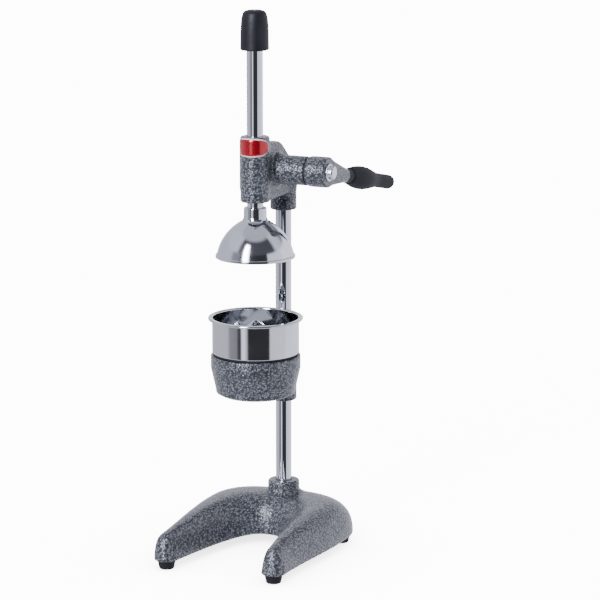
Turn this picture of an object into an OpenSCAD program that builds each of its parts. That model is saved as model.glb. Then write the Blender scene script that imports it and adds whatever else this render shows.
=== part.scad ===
// Lever citrus juice press: horseshoe base, column, juice bowl with strainer,
// and a head in which a gear on the lever drives a rack cut in the press rod.
// Axes: Z up, front is -Y, the lever is on the +X side. Millimetres.

/* [Stand] */
// Height of each rubber foot
foot_h = 11; // [8:0.5:16]
// Top diameter of a foot
foot_d = 23; // [18:0.5:24]
// Crown of the base above its rim, at the column
base_rise = 46.5; // [40:0.5:56]
// Crown of the base above its rim, at the toes
toe_rise = 34; // [28:0.5:40]
// Half width of the base at its widest
base_half_w = 98; // [92:0.5:106]
// Half distance between the toe centres
toe_x = 72; // [68:0.5:75]
// Radius of each rounded toe
toe_r = 15.2; // [14:0.1:16]
// Distance from the press axis forward to the toe centres
toe_front = 107; // [95:1:115]
// Distance from the press axis back to the arch between the legs
arch_y = 37; // [33:0.5:42]
// Distance from the press axis back to the rear of the base
base_back = 128; // [122:1:136]
// Wall of the base shell
base_wall = 5; // [4:0.25:6]
// Diameter of the boss that holds the column
base_boss_d = 40; // [34:0.5:44]
// Rise of that boss above the crown of the base
base_boss_up = 15; // [8:0.5:20]

/* [Column and rod] */
// Diameter of the fixed column
column_d = 20; // [18:0.5:22]
// Distance between the column axis and the press axis
reach = 84; // [82:0.5:88]
// Diameter of the press rod
rod_d = 20; // [18:0.5:22]
// Travel of the press rod
stroke = 100; // [90:1:108]
// Height of the rod knob
knob_h = 48.5; // [40:0.5:60]
// Diameter of the rod knob
knob_d = 35; // [30:0.5:40]

/* [Juice bowl] */
// Free height for a glass under the bowl
glass_room = 203; // [185:1:225]
// Height of the juice bowl
bowl_h = 51; // [44:0.5:60]
// Outer radius of the bowl rim
bowl_r = 55.5; // [54.5:0.1:60]
// Wall of the bowl
bowl_wall = 5; // [4:0.25:6]
// Outer diameter of the clamp bosses on the column
clamp_d = 33; // [30:0.5:36]
// Distance that the bowl's clamp boss hangs below the bowl
boss_drop = 25; // [15:0.5:32]
// Length of the bowl's clamp boss
boss_len = 58; // [50:0.5:66]
// Radius of the juice outlet
outlet_r = 6; // [4:0.25:8]

/* [Strainer] */
// Height of the cup wall that shows above the bowl
cup_h = 44.5; // [38:0.5:50]
// Outer radius of the cup wall
cup_r = 53.7; // [53:0.1:54.5]
// Sheet thickness of the cup
cup_t = 1.2; // [1:0.1:1.5]
// Width of the cup's rim flange
cup_lip = 3.4; // [2.5:0.1:5]
// Radius of the rolled bead on the rim
bead_r = 1.5; // [1.2:0.1:2]
// Thickness of the seat gasket
gasket_t = 2.5; // [2:0.1:4]
// Radius of the reamer at its foot
reamer_r = 36; // [30:0.5:38]
// Height of the reamer
reamer_h = 46; // [40:0.5:48]
// Number of reamer ribs
reamer_ribs = 10; // [8:1:12]
// Number of strainer holes in each ring
hole_count = 24; // [16:2:32]
// Radius of a strainer hole
hole_r = 1.9; // [1:0.1:2]

/* [Press bell] */
// Opening between cup rim and bell at rest
fruit_gap = 74.5; // [66:0.5:85]
// Radius of the bell rim
bell_r = 49; // [48:0.1:51]
// Height of the bell dome
bell_h = 50; // [46:0.5:56]
// Wall of the bell
bell_wall = 4.5; // [3.5:0.1:6]
// Diameter of the bell neck
neck_d = 28; // [26:0.5:32]
// Length of the bell neck above the dome
neck_h = 12; // [9:0.5:16]
// Rod that shows between neck and guide
neck_gap = 7; // [5:0.5:12]

/* [Head] */
// Length of the rod guide
guide_h = 80.5; // [78:0.5:95]
// Outer diameter of the rod guide
guide_d = 36; // [34:0.5:40]
// Height of the lever axis above the foot of the guide
axis_up = 36; // [34:0.5:42]
// Outer diameter of the shaft sleeve
sleeve_d = 36; // [32:0.5:40]
// Distance from the press axis to the end of the sleeve
sleeve_x = 55; // [46:0.5:60]
// Distance that the column socket hangs below the guide
socket_drop = 22.5; // [16:0.5:30]
// Gear module
gear_m = 2; // [1.9:0.05:2.1]
// Number of gear teeth
gear_n = 28; // [26:1:29]
// Face width of the gear
gear_w = 16; // [12:0.5:17]
// Diameter of the gear shaft
shaft_d = 16; // [14:0.5:18]
// Wall of the shaft bushes
bush_t = 2; // [1.5:0.1:3]
// Thickness of the gear cover
cover_t = 3.5; // [3:0.25:5]
// Height of the badge plate
badge_h = 23; // [18:0.5:28]

/* [Lever] */
// Angle of the lever below the horizontal at rest
lever_tilt = 12; // [0:1:20]
// Width of the lever hub along the shaft
hub_w = 26; // [22:0.5:30]
// Diameter of the lever hub
hub_d = 36; // [34:0.5:40]
// Distance from the shaft to the end of the lever arm
arm_len = 73; // [66:1:90]
// Diameter of the arm where it meets the grip
arm_d = 18.5; // [17:0.5:22]
// Diameter of the steel rod inside the grip
core_d = 12; // [9:0.5:14]
// Length of the black collar
collar_len = 14; // [8:0.5:20]
// Length of the grip
grip_len = 142; // [125:1:165]
// Greatest diameter of the grip
grip_d = 29.5; // [26:0.5:34]
// Diameter of the grip's rounded end
grip_end_d = 18.5; // [17:0.5:22]
// Diameter of the chrome hub cap
hub_cap_d = 22; // [19:0.5:26]
// Height of the chrome hub cap
hub_cap_h = 9; // [6:0.5:12]

/* [Clearances] */
// Radial running clearance of rod and shaft
run_clear = 0.05; // [0.03:0.01:0.09]
// Tooth backlash
backlash = 0.25; // [0.2:0.01:0.35]
// Clearance around parts that lift out or pass by
loose = 0.4; // [0.3:0.05:0.6]
// Axial gap at the lever's thrust washer
thrust_gap = 0.1; // [0.05:0.01:0.2]

/* [Hidden] */
$fn = 96;
e = 0.01;

// Colours
paint = [0.42, 0.43, 0.45];
chrome = [0.80, 0.82, 0.85];
steel = [0.62, 0.63, 0.65];
alloy = [0.74, 0.75, 0.77];
bronze = [0.70, 0.52, 0.30];
black = [0.10, 0.10, 0.11];
slate = [0.20, 0.21, 0.23];
red = [0.72, 0.08, 0.12];

// Heights, from the table up
rim_z = foot_h;
crown_z = rim_z + base_rise;
boss_z = crown_z + base_boss_up;
bowl_z = glass_room;
bowl_top_z = bowl_z + bowl_h;
cup_z = bowl_top_z + gasket_t;
cup_top_z = cup_z + cup_h;
bell_z = cup_top_z + fruit_gap;
bell_top_z = bell_z + bell_h;
neck_z = bell_top_z + neck_h;
guide_z = neck_z + neck_gap;
guide_top_z = guide_z + guide_h;
axis_z = guide_z + axis_up;
stop_gap = 5;
knob_z = guide_top_z + stroke + stop_gap;
top_z = knob_z + knob_h;

// Rack and gear
pitch = PI * gear_m;
gear_r = gear_m * gear_n / 2;
gear_tip_r = gear_r + gear_m;
gear_root_r = gear_r - 1.25 * gear_m;
rack_depth = 3;
rack_y = rod_d / 2 - rack_depth;
axis_y = rack_y + gear_r;
pressure = 20;
tooth_half = (pitch - backlash) / 4;
cavity_r = gear_tip_r + 1;
cavity_right = gear_w / 2 + 1;
cover_wall = 3;
mesh_reach = 2.5;
cover_back = rod_d / 2 + 0.6;
body_r = cavity_r + cover_wall;
body_left = guide_d / 2;
body_right = cavity_right + 5;
socket_z = guide_z - socket_drop;
socket_top_z = axis_z - 4;
column_end_z = socket_top_z - 8;
socket_body_z = socket_top_z - clamp_d / 2;

// Column foot
column_up = 23;
column_z = rim_z + column_up;
boss_under_up = 11;
boss_under_z = rim_z + boss_under_up;
bolt_r = 5;

// Bowl and strainer
bowl_floor = 5;
bowl_taper_z = bowl_top_z - 16;
bowl_taper = 7;
bowl_low_r = bowl_r - bowl_taper;
bowl_round = 10;
skirt_r = bowl_r - bowl_wall - loose - 1;
skirt_drop = 6.5;
floor_z = cup_z - skirt_drop;
reamer_z = floor_z + cup_t;

// Bell
bell_band = 4;
bell_inset = 1.5;
screw_r = 4;
rod_foot_z = bell_top_z - 4;

// Lever
bush_r = shaft_d / 2 + bush_t;
washer_t = 1.4;
hub_x = sleeve_x + washer_t + thrust_gap;
hub_end_x = hub_x + hub_w;
arm_x = hub_end_x - 10.5;
collar_end = arm_len + collar_len;
lever_end = collar_end + grip_len;
shaft_left = -cavity_right - 7;

// The model stands with the middle of its outline over the origin
back_y = axis_y + (lever_end - grip_end_d / 2) * cos(lever_tilt) + grip_end_d / 2;
front_y = -toe_front - toe_r;
mid_y = (front_y + back_y) / 2;

module place() translate([0, -mid_y, 0]) children();

// Turns a shape drawn along Z so that it lies along X
module along_x() rotate([90, 0, 90]) children();

// Points of an arc in a plane
function arc(cx, cy, r, a0, a1, n) =
    [for (i = [0:n]) let (a = a0 + (a1 - a0) * i / n) [cx + r * cos(a), cy + r * sin(a)]];

// ---------- base casting: a thick shell over a horseshoe ----------
legs_n = 36;
toe_n = 8;
skin_n = 7;
ring_n = 2 * (legs_n + 1) + 2 * (toe_n - 1);
rear_share = 0.42;
wide_y = 50;

function sign_pow(v, p) = sign(v) * pow(abs(v), p);
function smooth(s) = s * s * (3 - 2 * s);

// Inner edge of the horseshoe, u from -1 (left toe) to 1 (right toe)
function inner_pt(u) = let (f = sign_pow(u, 0.6))
    [(toe_x - toe_r) * f, arch_y - (arch_y + toe_front) * pow(abs(f), 2.5)];

// Outer edge: a full rounded back, then two straight sides
function outer_pt(u) = abs(u) <= rear_share
    ? let (a = 90 * (1 - abs(u) / rear_share))
        [sign(u) * base_half_w * pow(cos(a), 2 / 3),
            wide_y + (base_back - wide_y) * pow(sin(a), 2 / 3)]
    : let (s = (abs(u) - rear_share) / (1 - rear_share))
        [sign(u) * (base_half_w - (base_half_w - toe_x - toe_r) * smooth(s)),
            wide_y - (wide_y + toe_front) * s];

// Crown line, its height above the rim, and the fullness of the section
function spine_pt(u) = (inner_pt(u) + outer_pt(u)) / 2;
function crown_h(u) = toe_rise + (base_rise - toe_rise) * (1 - pow(abs(u), 2.5));
inner_full = 3.2;
outer_full = 2.4;
// Lean of the inner wall of the legs, as a share of the half section; none at the arch
inner_lean = 0.35;
lean_at = 0.55;
function lean_of(u) = inner_lean * smooth(min(abs(u) / lean_at, 1));

// Station i round the rim: [edge point, u of its crown point, fullness]
function toe_pt(side, k) = let (a = 180 * k / toe_n)
    [side * (toe_x - toe_r * cos(a)), -toe_front - toe_r * sin(a)];
function station(i) =
    i <= legs_n ? let (u = 2 * i / legs_n - 1) [inner_pt(u), u, inner_full]
    : i < legs_n + toe_n ? let (k = i - legs_n)
        [toe_pt(1, k), 1, inner_full + (outer_full - inner_full) * k / toe_n]
    : i <= 2 * legs_n + toe_n ? let (u = 1 - 2 * (i - legs_n - toe_n) / legs_n)
        [outer_pt(u), u, outer_full]
    : let (k = ring_n - i)
        [toe_pt(-1, k), -1, inner_full + (outer_full - inner_full) * k / toe_n];

function crown_index(i) =
    i <= legs_n ? i
    : i < legs_n + toe_n ? legs_n
    : i <= 2 * legs_n + toe_n ? 2 * legs_n + toe_n - i
    : 0;

// Skin point at level k of station s, for a shell drawn in by w
function skin_pt(s, k, w) = let (
        c = spine_pt(s[1]), d = norm(s[0] - c), a = 90 * k / skin_n,
        lean = lean_of(s[1]) * (s[2] - outer_full) / (inner_full - outer_full),
        r = (d - w) / d * pow(cos(a), 2 / s[2]) * (1 - lean * pow(sin(a), 2 / s[2])),
        p = c + (s[0] - c) * r)
    [p[0], p[1], rim_z + (crown_h(s[1]) - w) * pow(sin(a), 2 / s[2])];
function skin(w) = concat(
    [for (k = [0:skin_n - 1]) for (i = [0:ring_n - 1]) skin_pt(station(i), k, w)],
    [for (j = [0:legs_n]) let (u = 2 * j / legs_n - 1, c = spine_pt(u))
        [c[0], c[1], rim_z + crown_h(u) - w]]);

// Two triangles for a four sided patch, or one where two corners are the same
function patch(a, b, c, d) = concat(b == c ? [] : [[a, b, c]], c == d ? [] : [[a, c, d]]);
function skin_faces(o, flip) = [
    for (k = [0:skin_n - 1]) for (i = [0:ring_n - 1])
        let (j = (i + 1) % ring_n, top = k == skin_n - 1,
            a = o + k * ring_n + i, b = o + k * ring_n + j,
            c = o + (k + 1) * ring_n + (top ? crown_index(j) : j),
            d = o + (k + 1) * ring_n + (top ? crown_index(i) : i))
        each flip ? patch(a, b, c, d) : patch(a, d, c, b)];
skin_size = skin_n * ring_n + legs_n + 1;
function rim_faces() = [
    for (i = [0:ring_n - 1]) let (j = (i + 1) % ring_n)
        each patch(i, j, skin_size + j, skin_size + i)];

module base_shell()
    polyhedron(points = concat(skin(0), skin(base_wall)),
        faces = concat(skin_faces(0, false), skin_faces(skin_size, true), rim_faces()),
        convexity = 6);

// Foot places: under the toes and under the rear corners
corner_in_x = 17;
corner_in_y = 47;
rear_foot_x = base_half_w - corner_in_x;
rear_foot_y = base_back - corner_in_y;
feet_at = [[-toe_x, -toe_front], [toe_x, -toe_front],
    [-rear_foot_x, rear_foot_y], [rear_foot_x, rear_foot_y]];
foot_screw_r = 2.5;
foot_screw_up = 16;
toe_post_r = 6;
boss_flare = 5;
boss_edge = 1.5;
corner_post_r = 11;
corner_post_h = 18;

module base_casting() color(paint) place() difference() {
    union() {
        base_shell();
        translate([0, reach, 0]) rotate_extrude() polygon(concat(
            [[0, boss_under_z], [base_boss_d / 2, boss_under_z],
                [base_boss_d / 2 + boss_flare, crown_z - boss_flare]],
            arc(base_boss_d / 2 + boss_flare, crown_z + boss_flare - 1,
                boss_flare, 240, 180, 4),
            arc(base_boss_d / 2 - boss_edge, boss_z - boss_edge, boss_edge, 0, 90, 3),
            [[0, boss_z]]));
        for (i = [0:1]) translate([feet_at[i][0], feet_at[i][1], rim_z])
            cylinder(r = toe_post_r, h = toe_rise - base_wall + 1);
        for (i = [2:3]) translate([feet_at[i][0], feet_at[i][1], rim_z])
            cylinder(r = corner_post_r, h = corner_post_h);
    }
    translate([0, reach, column_z]) cylinder(d = column_d, h = boss_z);
    translate([0, reach, rim_z]) cylinder(r = bolt_r, h = column_z);
    for (p = feet_at) translate([p[0], p[1], rim_z - 1])
        cylinder(r = foot_screw_r, h = foot_screw_up + 1);
}

// ---------- feet ----------
foot_taper = 5;
foot_well_r = 5.6;
foot_well_h = 5;

module foot(i) color(black) place() translate([feet_at[i][0], feet_at[i][1], 0])
    difference() {
        cylinder(d1 = foot_d - foot_taper, d2 = foot_d, h = foot_h);
        translate([0, 0, -1]) cylinder(r = foot_well_r, h = foot_well_h + 1);
        cylinder(r = foot_screw_r, h = foot_h + 1);
    }
module foot_front_left() foot(0);
module foot_front_right() foot(1);
module foot_rear_left() foot(2);
module foot_rear_right() foot(3);

module foot_screws() color(steel) place() for (p = feet_at)
    translate([p[0], p[1], foot_well_h]) {
        translate([0, 0, -3]) cylinder(r = foot_well_r - 0.8, h = 3);
        cylinder(r = foot_screw_r, h = rim_z + foot_screw_up - foot_well_h);
    }

// ---------- column and its bolt ----------
bolt_in_column = 18;
column_chamfer = 1;

module column() color(chrome) place() translate([0, reach, 0]) difference() {
    union() {
        translate([0, 0, column_z])
            cylinder(d = column_d, h = column_end_z - column_chamfer - column_z);
        translate([0, 0, column_end_z - column_chamfer])
            cylinder(d1 = column_d, d2 = column_d - 2 * column_chamfer, h = column_chamfer);
    }
    translate([0, 0, column_z - 1]) cylinder(r = bolt_r, h = bolt_in_column + 1);
}
washer_h = 2;
bolt_head_h = 6.4;
module column_bolt() color(steel) place() translate([0, reach, 0]) {
    translate([0, 0, boss_under_z - washer_h])
        cylinder(r = bolt_r, h = column_z + bolt_in_column - boss_under_z + washer_h);
    translate([0, 0, boss_under_z - washer_h - bolt_head_h])
        cylinder(r = bolt_r * 1.85, h = bolt_head_h, $fn = 6);
}
module column_washer() color(steel) place()
    translate([0, reach, boss_under_z - washer_h]) difference() {
        cylinder(r = bolt_r * 2.4, h = washer_h);
        translate([0, 0, -1]) cylinder(r = bolt_r, h = washer_h + 2);
    }

// ---------- head ----------
guide_round = 2;
body_round = 4;

// Rounded disc across X, one of the corners of the gear housing
module pebble(y, z, r) translate([-body_left, y, z]) along_x()
    let (w = body_left + body_right) {
        translate([0, 0, body_round]) cylinder(r = r, h = w - 2 * body_round, $fn = 48);
        translate([0, 0, 1.2]) cylinder(r = r - 1.2, h = w - 2.4, $fn = 48);
        cylinder(r = r - body_round, h = w, $fn = 48);
    }
front_r = 17.5;
front_y2 = 14;
module gear_housing() hull() {
    pebble(front_y2, axis_z + body_r - front_r + 2, front_r);
    pebble(front_y2, axis_z - body_r + front_r - 2, front_r);
    pebble(axis_y, axis_z, body_r);
    pebble(reach, socket_body_z, clamp_d / 2);
}
module guide_tube() rotate_extrude() polygon(concat(
    [[0, guide_z], [guide_d / 2 - guide_round, guide_z]],
    arc(guide_d / 2 - guide_round, guide_z + guide_round, guide_round, -90, 0, 4),
    arc(guide_d / 2 - guide_round, guide_top_z - guide_round, guide_round, 0, 90, 4),
    [[0, guide_top_z]]));

cover_screw_r = 2;
cover_head_r = 3.2;
cover_head_h = 2.4;
cover_screw_y = 10;
cover_screw_up = 27;
cover_screw_at = [[cover_screw_y, axis_z + cover_screw_up],
    [cover_screw_y, axis_z - cover_screw_up], [reach - 8, socket_body_z + 2]];
cover_screw_in = 7;
set_screw_r = 3;
set_screw_len = 8;

// Set screws enter the bosses from the back
module set_screws_at(zs, d) for (z = zs)
    translate([0, reach + column_d / 2, z]) rotate([-90, 0, 0]) children();

head_screw_up = 12;
screw_pitch = 20;
head_screw_z = [socket_z + head_screw_up, socket_z + head_screw_up + screw_pitch];
module head_casting() color(paint) place() difference() {
    union() {
        guide_tube();
        gear_housing();
        translate([0, reach, socket_z])
            cylinder(d = clamp_d, h = socket_body_z - socket_z);
        translate([0, axis_y, axis_z]) along_x() cylinder(d = sleeve_d, h = sleeve_x);
    }
    translate([0, 0, guide_z - 1]) cylinder(r = rod_d / 2 + run_clear, h = guide_h + 2);
    translate([0, reach, socket_z - 1])
        cylinder(d = column_d, h = column_end_z - socket_z + 1);
    translate([-body_left - 1, axis_y, axis_z]) along_x()
        cylinder(r = cavity_r, h = body_left + 1 + cavity_right);
    translate([0, axis_y, axis_z]) along_x() cylinder(r = bush_r, h = sleeve_x + 1);
    for (p = cover_screw_at) translate([-body_left - 1, p[0], p[1]]) along_x()
        cylinder(r = cover_screw_r, h = cover_screw_in + 1);
    set_screws_at(head_screw_z) cylinder(r = set_screw_r, h = clamp_d);
}

module set_screw() difference() {
    cylinder(r = set_screw_r, h = set_screw_len);
    translate([0, 0, set_screw_len - 3]) cylinder(r = 1.6, h = 4, $fn = 6);
}
module head_set_screws() color(steel) place() set_screws_at(head_screw_z) set_screw();

// ---------- gear cover on the left side ----------
module cover_outline() hull() {
    translate([front_y2, axis_z + body_r - front_r + 2]) circle(r = front_r - body_round);
    translate([front_y2, axis_z - body_r + front_r - 2]) circle(r = front_r - body_round);
    translate([axis_y, axis_z]) circle(r = body_r - 1);
    translate([reach, socket_body_z]) circle(r = clamp_d / 2 - body_round);
}
spigot_len = body_left - cover_back;
module gear_cover() color(paint) place() difference() {
    union() {
        translate([-body_left - cover_t, 0, 0]) along_x()
            linear_extrude(cover_t) cover_outline();
        translate([-body_left - e, axis_y, axis_z]) along_x()
            cylinder(r = cavity_r - run_clear, h = spigot_len + e);
    }
    translate([shaft_left - 1, axis_y, axis_z]) along_x()
        cylinder(r = bush_r, h = body_left * 2);
    for (p = cover_screw_at) translate([-body_left - cover_t - 1, p[0], p[1]]) along_x() {
        cylinder(r = cover_screw_r, h = cover_t + 2);
        cylinder(r = cover_head_r, h = cover_head_h + 1);
    }
}
module gear_cover_screws() color(steel) place() for (p = cover_screw_at)
    translate([-body_left - cover_t, p[0], p[1]]) along_x() {
        translate([0, 0, cover_head_h - e])
            cylinder(r = cover_screw_r, h = cover_t + cover_screw_in - cover_head_h + e);
        difference() {
            cylinder(r = cover_head_r, h = cover_head_h);
            translate([0, 0, -1]) cylinder(r = 1.4, h = cover_head_h, $fn = 6);
        }
    }

// ---------- bushes and thrust washer ----------
module bush(x0, x1) translate([x0, axis_y, axis_z]) along_x() difference() {
    cylinder(r = bush_r, h = x1 - x0);
    translate([0, 0, -1]) cylinder(r = shaft_d / 2 + run_clear, h = x1 - x0 + 2);
}
bush_len = 15;
module sleeve_bushes() color(bronze) place() {
    bush(cavity_right, cavity_right + bush_len);
    bush(sleeve_x - bush_len, sleeve_x);
}
module cover_bush() color(bronze) place() bush(shaft_left - 1, -cavity_right);
module thrust_washer() color(black) place()
    translate([sleeve_x, axis_y, axis_z]) along_x() difference() {
        cylinder(d = sleeve_d - 2, h = washer_t);
        translate([0, 0, -1]) cylinder(r = shaft_d / 2 + loose, h = washer_t + 2);
    }

// ---------- bare oval badge, wrapped on the guide ----------
badge_t = 0.8;
badge_half_angle = 84;
badge_fullness = 2.6;
badge_drop = 0.5;
badge_z = guide_top_z - badge_drop - badge_h / 2;
module badge_plate() color(red) place() intersection() {
    translate([0, 0, badge_z - badge_h]) difference() {
        cylinder(r = guide_d / 2 + badge_t, h = 2 * badge_h);
        translate([0, 0, -1]) cylinder(r = guide_d / 2, h = 2 * badge_h + 2);
    }
    translate([0, 0, badge_z]) rotate([90, 0, 0]) linear_extrude(guide_d)
        polygon([for (k = [0:47]) let (t = 360 * k / 48, n = 2 / badge_fullness,
                u = sign(cos(t)) * pow(abs(cos(t)), n), v = sign(sin(t)) * pow(abs(sin(t)), n))
            [guide_d / 2 * sin(badge_half_angle * u), badge_h / 2 * v]]);
}

// ---------- juice bowl ----------
spout_h = 4;
module bowl_outside() rotate_extrude() polygon(concat(
    [[0, bowl_z - spout_h], [outlet_r + 2, bowl_z - spout_h], [outlet_r + 3, bowl_z]],
    arc(bowl_low_r - bowl_round, bowl_z + bowl_round, bowl_round, -90, -15, 5),
    [[bowl_r, bowl_taper_z], [bowl_r, bowl_top_z - 1], [bowl_r - 1, bowl_top_z],
        [0, bowl_top_z]]));
module bowl_inside() rotate_extrude() polygon(concat(
    [[0, bowl_z - spout_h - 1], [outlet_r, bowl_z - spout_h - 1],
        [outlet_r, bowl_z + bowl_floor]],
    arc(bowl_low_r - bowl_wall - bowl_round, bowl_z + bowl_floor + 5 + bowl_round,
        bowl_round, -90, -15, 5),
    [[bowl_r - bowl_wall, bowl_taper_z], [bowl_r - bowl_wall, bowl_top_z + 1],
        [0, bowl_top_z + 1]]));
web_t = 18;
clamp_z = bowl_z - boss_drop;
bowl_screw_z = [clamp_z + 14, clamp_z + boss_len - 14];
module bowl_casting() color(paint) place() difference() {
    union() {
        bowl_outside();
        translate([0, reach, clamp_z]) cylinder(d = clamp_d, h = boss_len);
        translate([-web_t / 2, 0, 0]) along_x() linear_extrude(web_t) polygon([
            [bowl_low_r - bowl_wall - 4, bowl_z + 1], [reach, clamp_z + 4],
            [reach, clamp_z + boss_len - 4], [bowl_r - bowl_wall + 1, clamp_z + boss_len - 4]]);
    }
    bowl_inside();
    translate([0, reach, clamp_z - 1]) cylinder(d = column_d, h = boss_len + 2);
    set_screws_at(bowl_screw_z) cylinder(r = set_screw_r, h = clamp_d);
}
module bowl_set_screws() color(steel) place() set_screws_at(bowl_screw_z) set_screw();

module seat_gasket() color(black) place() translate([0, 0, bowl_top_z]) difference() {
    cylinder(r = cup_r - 0.7, h = gasket_t - 0.1);
    translate([0, 0, -1]) cylinder(r = skirt_r + loose, h = gasket_t + 2);
}

// ---------- strainer ----------
hole_rings = [reamer_r + 4, reamer_r + 9];
module strainer_cup() color(chrome) place() difference() {
    union() {
        rotate_extrude() polygon([
            [reamer_r - 2, floor_z], [skirt_r, floor_z], [skirt_r, cup_z],
            [cup_r, cup_z], [cup_r, cup_top_z - cup_t], [cup_r + cup_lip, cup_top_z - cup_t],
            [cup_r + cup_lip, cup_top_z], [cup_r - cup_t, cup_top_z],
            [cup_r - cup_t, cup_z + cup_t], [skirt_r - cup_t, cup_z + cup_t],
            [skirt_r - cup_t, floor_z + cup_t], [reamer_r - 2, floor_z + cup_t]]);
        translate([0, 0, cup_top_z - bead_r]) rotate_extrude()
            translate([cup_r + cup_lip, 0]) circle(r = bead_r);
    }
    for (r = hole_rings) for (k = [0:hole_count - 1])
        rotate([0, 0, 360 * (k + (r == reamer_r + 4 ? 0.5 : 0)) / hole_count])
            translate([r, 0, floor_z - 1]) cylinder(r = hole_r, h = cup_t + 2, $fn = 16);
}

// Ribbed reamer: a rounded cone whose section swells at each rib
reamer_rings = 12;
reamer_sides = reamer_ribs * 6;
function reamer_pt(k, i) = let (t = k / reamer_rings, a = 360 * i / reamer_sides,
        body = reamer_r * pow(1 - pow(t, 1.6), 0.8) * (1 - 0.12 * sin(180 * t)),
        rib = 1 + 0.09 * sin(180 * pow(t, 0.6)) * cos(a * reamer_ribs))
    [body * rib * cos(a), body * rib * sin(a), reamer_z + reamer_h * t];
module reamer_cone() color(alloy) place() polyhedron(
    points = concat(
        [for (k = [0:reamer_rings - 1]) for (i = [0:reamer_sides - 1]) reamer_pt(k, i)],
        [[0, 0, reamer_z], [0, 0, reamer_z + reamer_h]]),
    faces = let (n = reamer_sides, low = reamer_rings * n, last = (reamer_rings - 1) * n)
        concat(
        [for (i = [0:n - 1]) [low, i, (i + 1) % n]],
        [for (k = [0:reamer_rings - 2]) for (i = [0:n - 1]) let (j = (i + 1) % n)
            each patch(k * n + i, (k + 1) * n + i, (k + 1) * n + j, k * n + j)],
        [for (i = [0:n - 1]) [last + i, low + 1, last + (i + 1) % n]]));

// ---------- press rod, knob and bell ----------
rod_top_z = knob_z + knob_h * 0.6;
rod_screw_in = 16;
rack_low_z = axis_z - mesh_reach * pitch;
rack_teeth = ceil(stroke / pitch) + 2 * mesh_reach + 1;
rack_root = 1.25 * gear_m;
gap_root = pitch / 2 - tooth_half;
gap_low = gap_root - rack_root * tan(pressure) + backlash / 4;
gap_mouth = gap_root + rack_depth * tan(pressure) + backlash / 4;

// One gap between rack teeth, drawn across the rod
module rack_gap() along_x() translate([0, 0, -rod_d / 2 - 1]) linear_extrude(rod_d + 2)
    polygon([[rack_y - rack_root, -gap_low], [rack_y - rack_root, gap_low],
        [rack_y + rack_depth + 1, gap_mouth + tan(pressure)],
        [rack_y + rack_depth + 1, -gap_mouth - tan(pressure)]]);
rack_crest_y = rack_y + gear_m;
module rack_rod() color(chrome) place() difference() {
    translate([0, 0, rod_foot_z]) cylinder(d = rod_d, h = rod_top_z - rod_foot_z);
    for (k = [0:rack_teeth - 1]) translate([0, 0, rack_low_z + k * pitch]) rack_gap();
    translate([-rod_d / 2, rack_crest_y, rack_low_z])
        cube([rod_d, rod_d, (rack_teeth - 1) * pitch]);
    translate([0, 0, rod_foot_z - 1]) cylinder(r = screw_r, h = rod_screw_in + 1);
}
knob_top_round = 9;
module rod_knob() color(black) place() difference() {
    rotate_extrude() polygon(concat(
        [[0, knob_z], [knob_d / 2 - 1.5, knob_z], [knob_d / 2, knob_z + 1.5],
            [knob_d / 2 - 0.4, knob_z + knob_h * 0.5]],
        arc(knob_d / 2 - 1.6 - knob_top_round, top_z - knob_top_round - 1.5,
            knob_top_round, 0, 70, 6),
        [[0, top_z]]));
    translate([0, 0, knob_z - 1]) cylinder(d = rod_d, h = rod_top_z - knob_z + 1);
}

// Radius of a dome at height t of its rise
function dome_r(r, t) = r * pow(max(1 - pow(t, 1.75), 0), 1 / 1.75);
dome_n = 14;
module bell_outside() rotate_extrude() polygon(concat(
    [[0, bell_z], [bell_r, bell_z], [bell_r, bell_z + bell_band - 1],
        [bell_r - bell_inset + 0.4, bell_z + bell_band]],
    [for (k = [1:dome_n - 1]) let (t = sin(90 * k / dome_n))
        if (dome_r(bell_r - bell_inset, t) > neck_d / 2 + 1 && t * bell_h > bell_band + 1)
        [dome_r(bell_r - bell_inset, t), bell_z + bell_h * t]],
    [[neck_d / 2, bell_top_z - 2], [neck_d / 2, neck_z - 1], [neck_d / 2 - 1, neck_z],
        [0, neck_z]]));
bell_cap_z = rod_foot_z - 5;
module bell_inside() rotate_extrude() polygon(concat(
    [[0, bell_z - 1], [bell_r - bell_wall, bell_z - 1], [bell_r - bell_wall, bell_z]],
    [for (k = [0:dome_n]) let (t = sin(90 * k / dome_n) )
        if (bell_z + (bell_h - bell_wall) * t < bell_cap_z)
        [dome_r(bell_r - bell_wall - 0.5, t), bell_z + (bell_h - bell_wall) * t]],
    [[14, bell_cap_z], [0, bell_cap_z]]));
module press_bell() color(alloy) place() difference() {
    bell_outside();
    bell_inside();
    translate([0, 0, rod_foot_z]) cylinder(d = rod_d, h = neck_z);
    translate([0, 0, bell_cap_z - 1]) cylinder(r = screw_r, h = bell_h);
}
bell_washer_t = 1.5;
module bell_washer() color(steel) place()
    translate([0, 0, bell_cap_z - bell_washer_t]) difference() {
        cylinder(r = screw_r * 2.3, h = bell_washer_t);
        translate([0, 0, -1]) cylinder(r = screw_r, h = bell_washer_t + 2);
    }
bell_head_h = 5;
module bell_screw() color(steel) place() {
    translate([0, 0, bell_cap_z - bell_washer_t])
        cylinder(r = screw_r, h = rod_foot_z + rod_screw_in - bell_cap_z + bell_washer_t);
    translate([0, 0, bell_cap_z - bell_washer_t - bell_head_h])
        cylinder(r = screw_r * 1.8, h = bell_head_h, $fn = 6);
}

// ---------- gear ----------
base_circle_r = gear_r * cos(pressure);
flank_n = 5;
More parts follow.
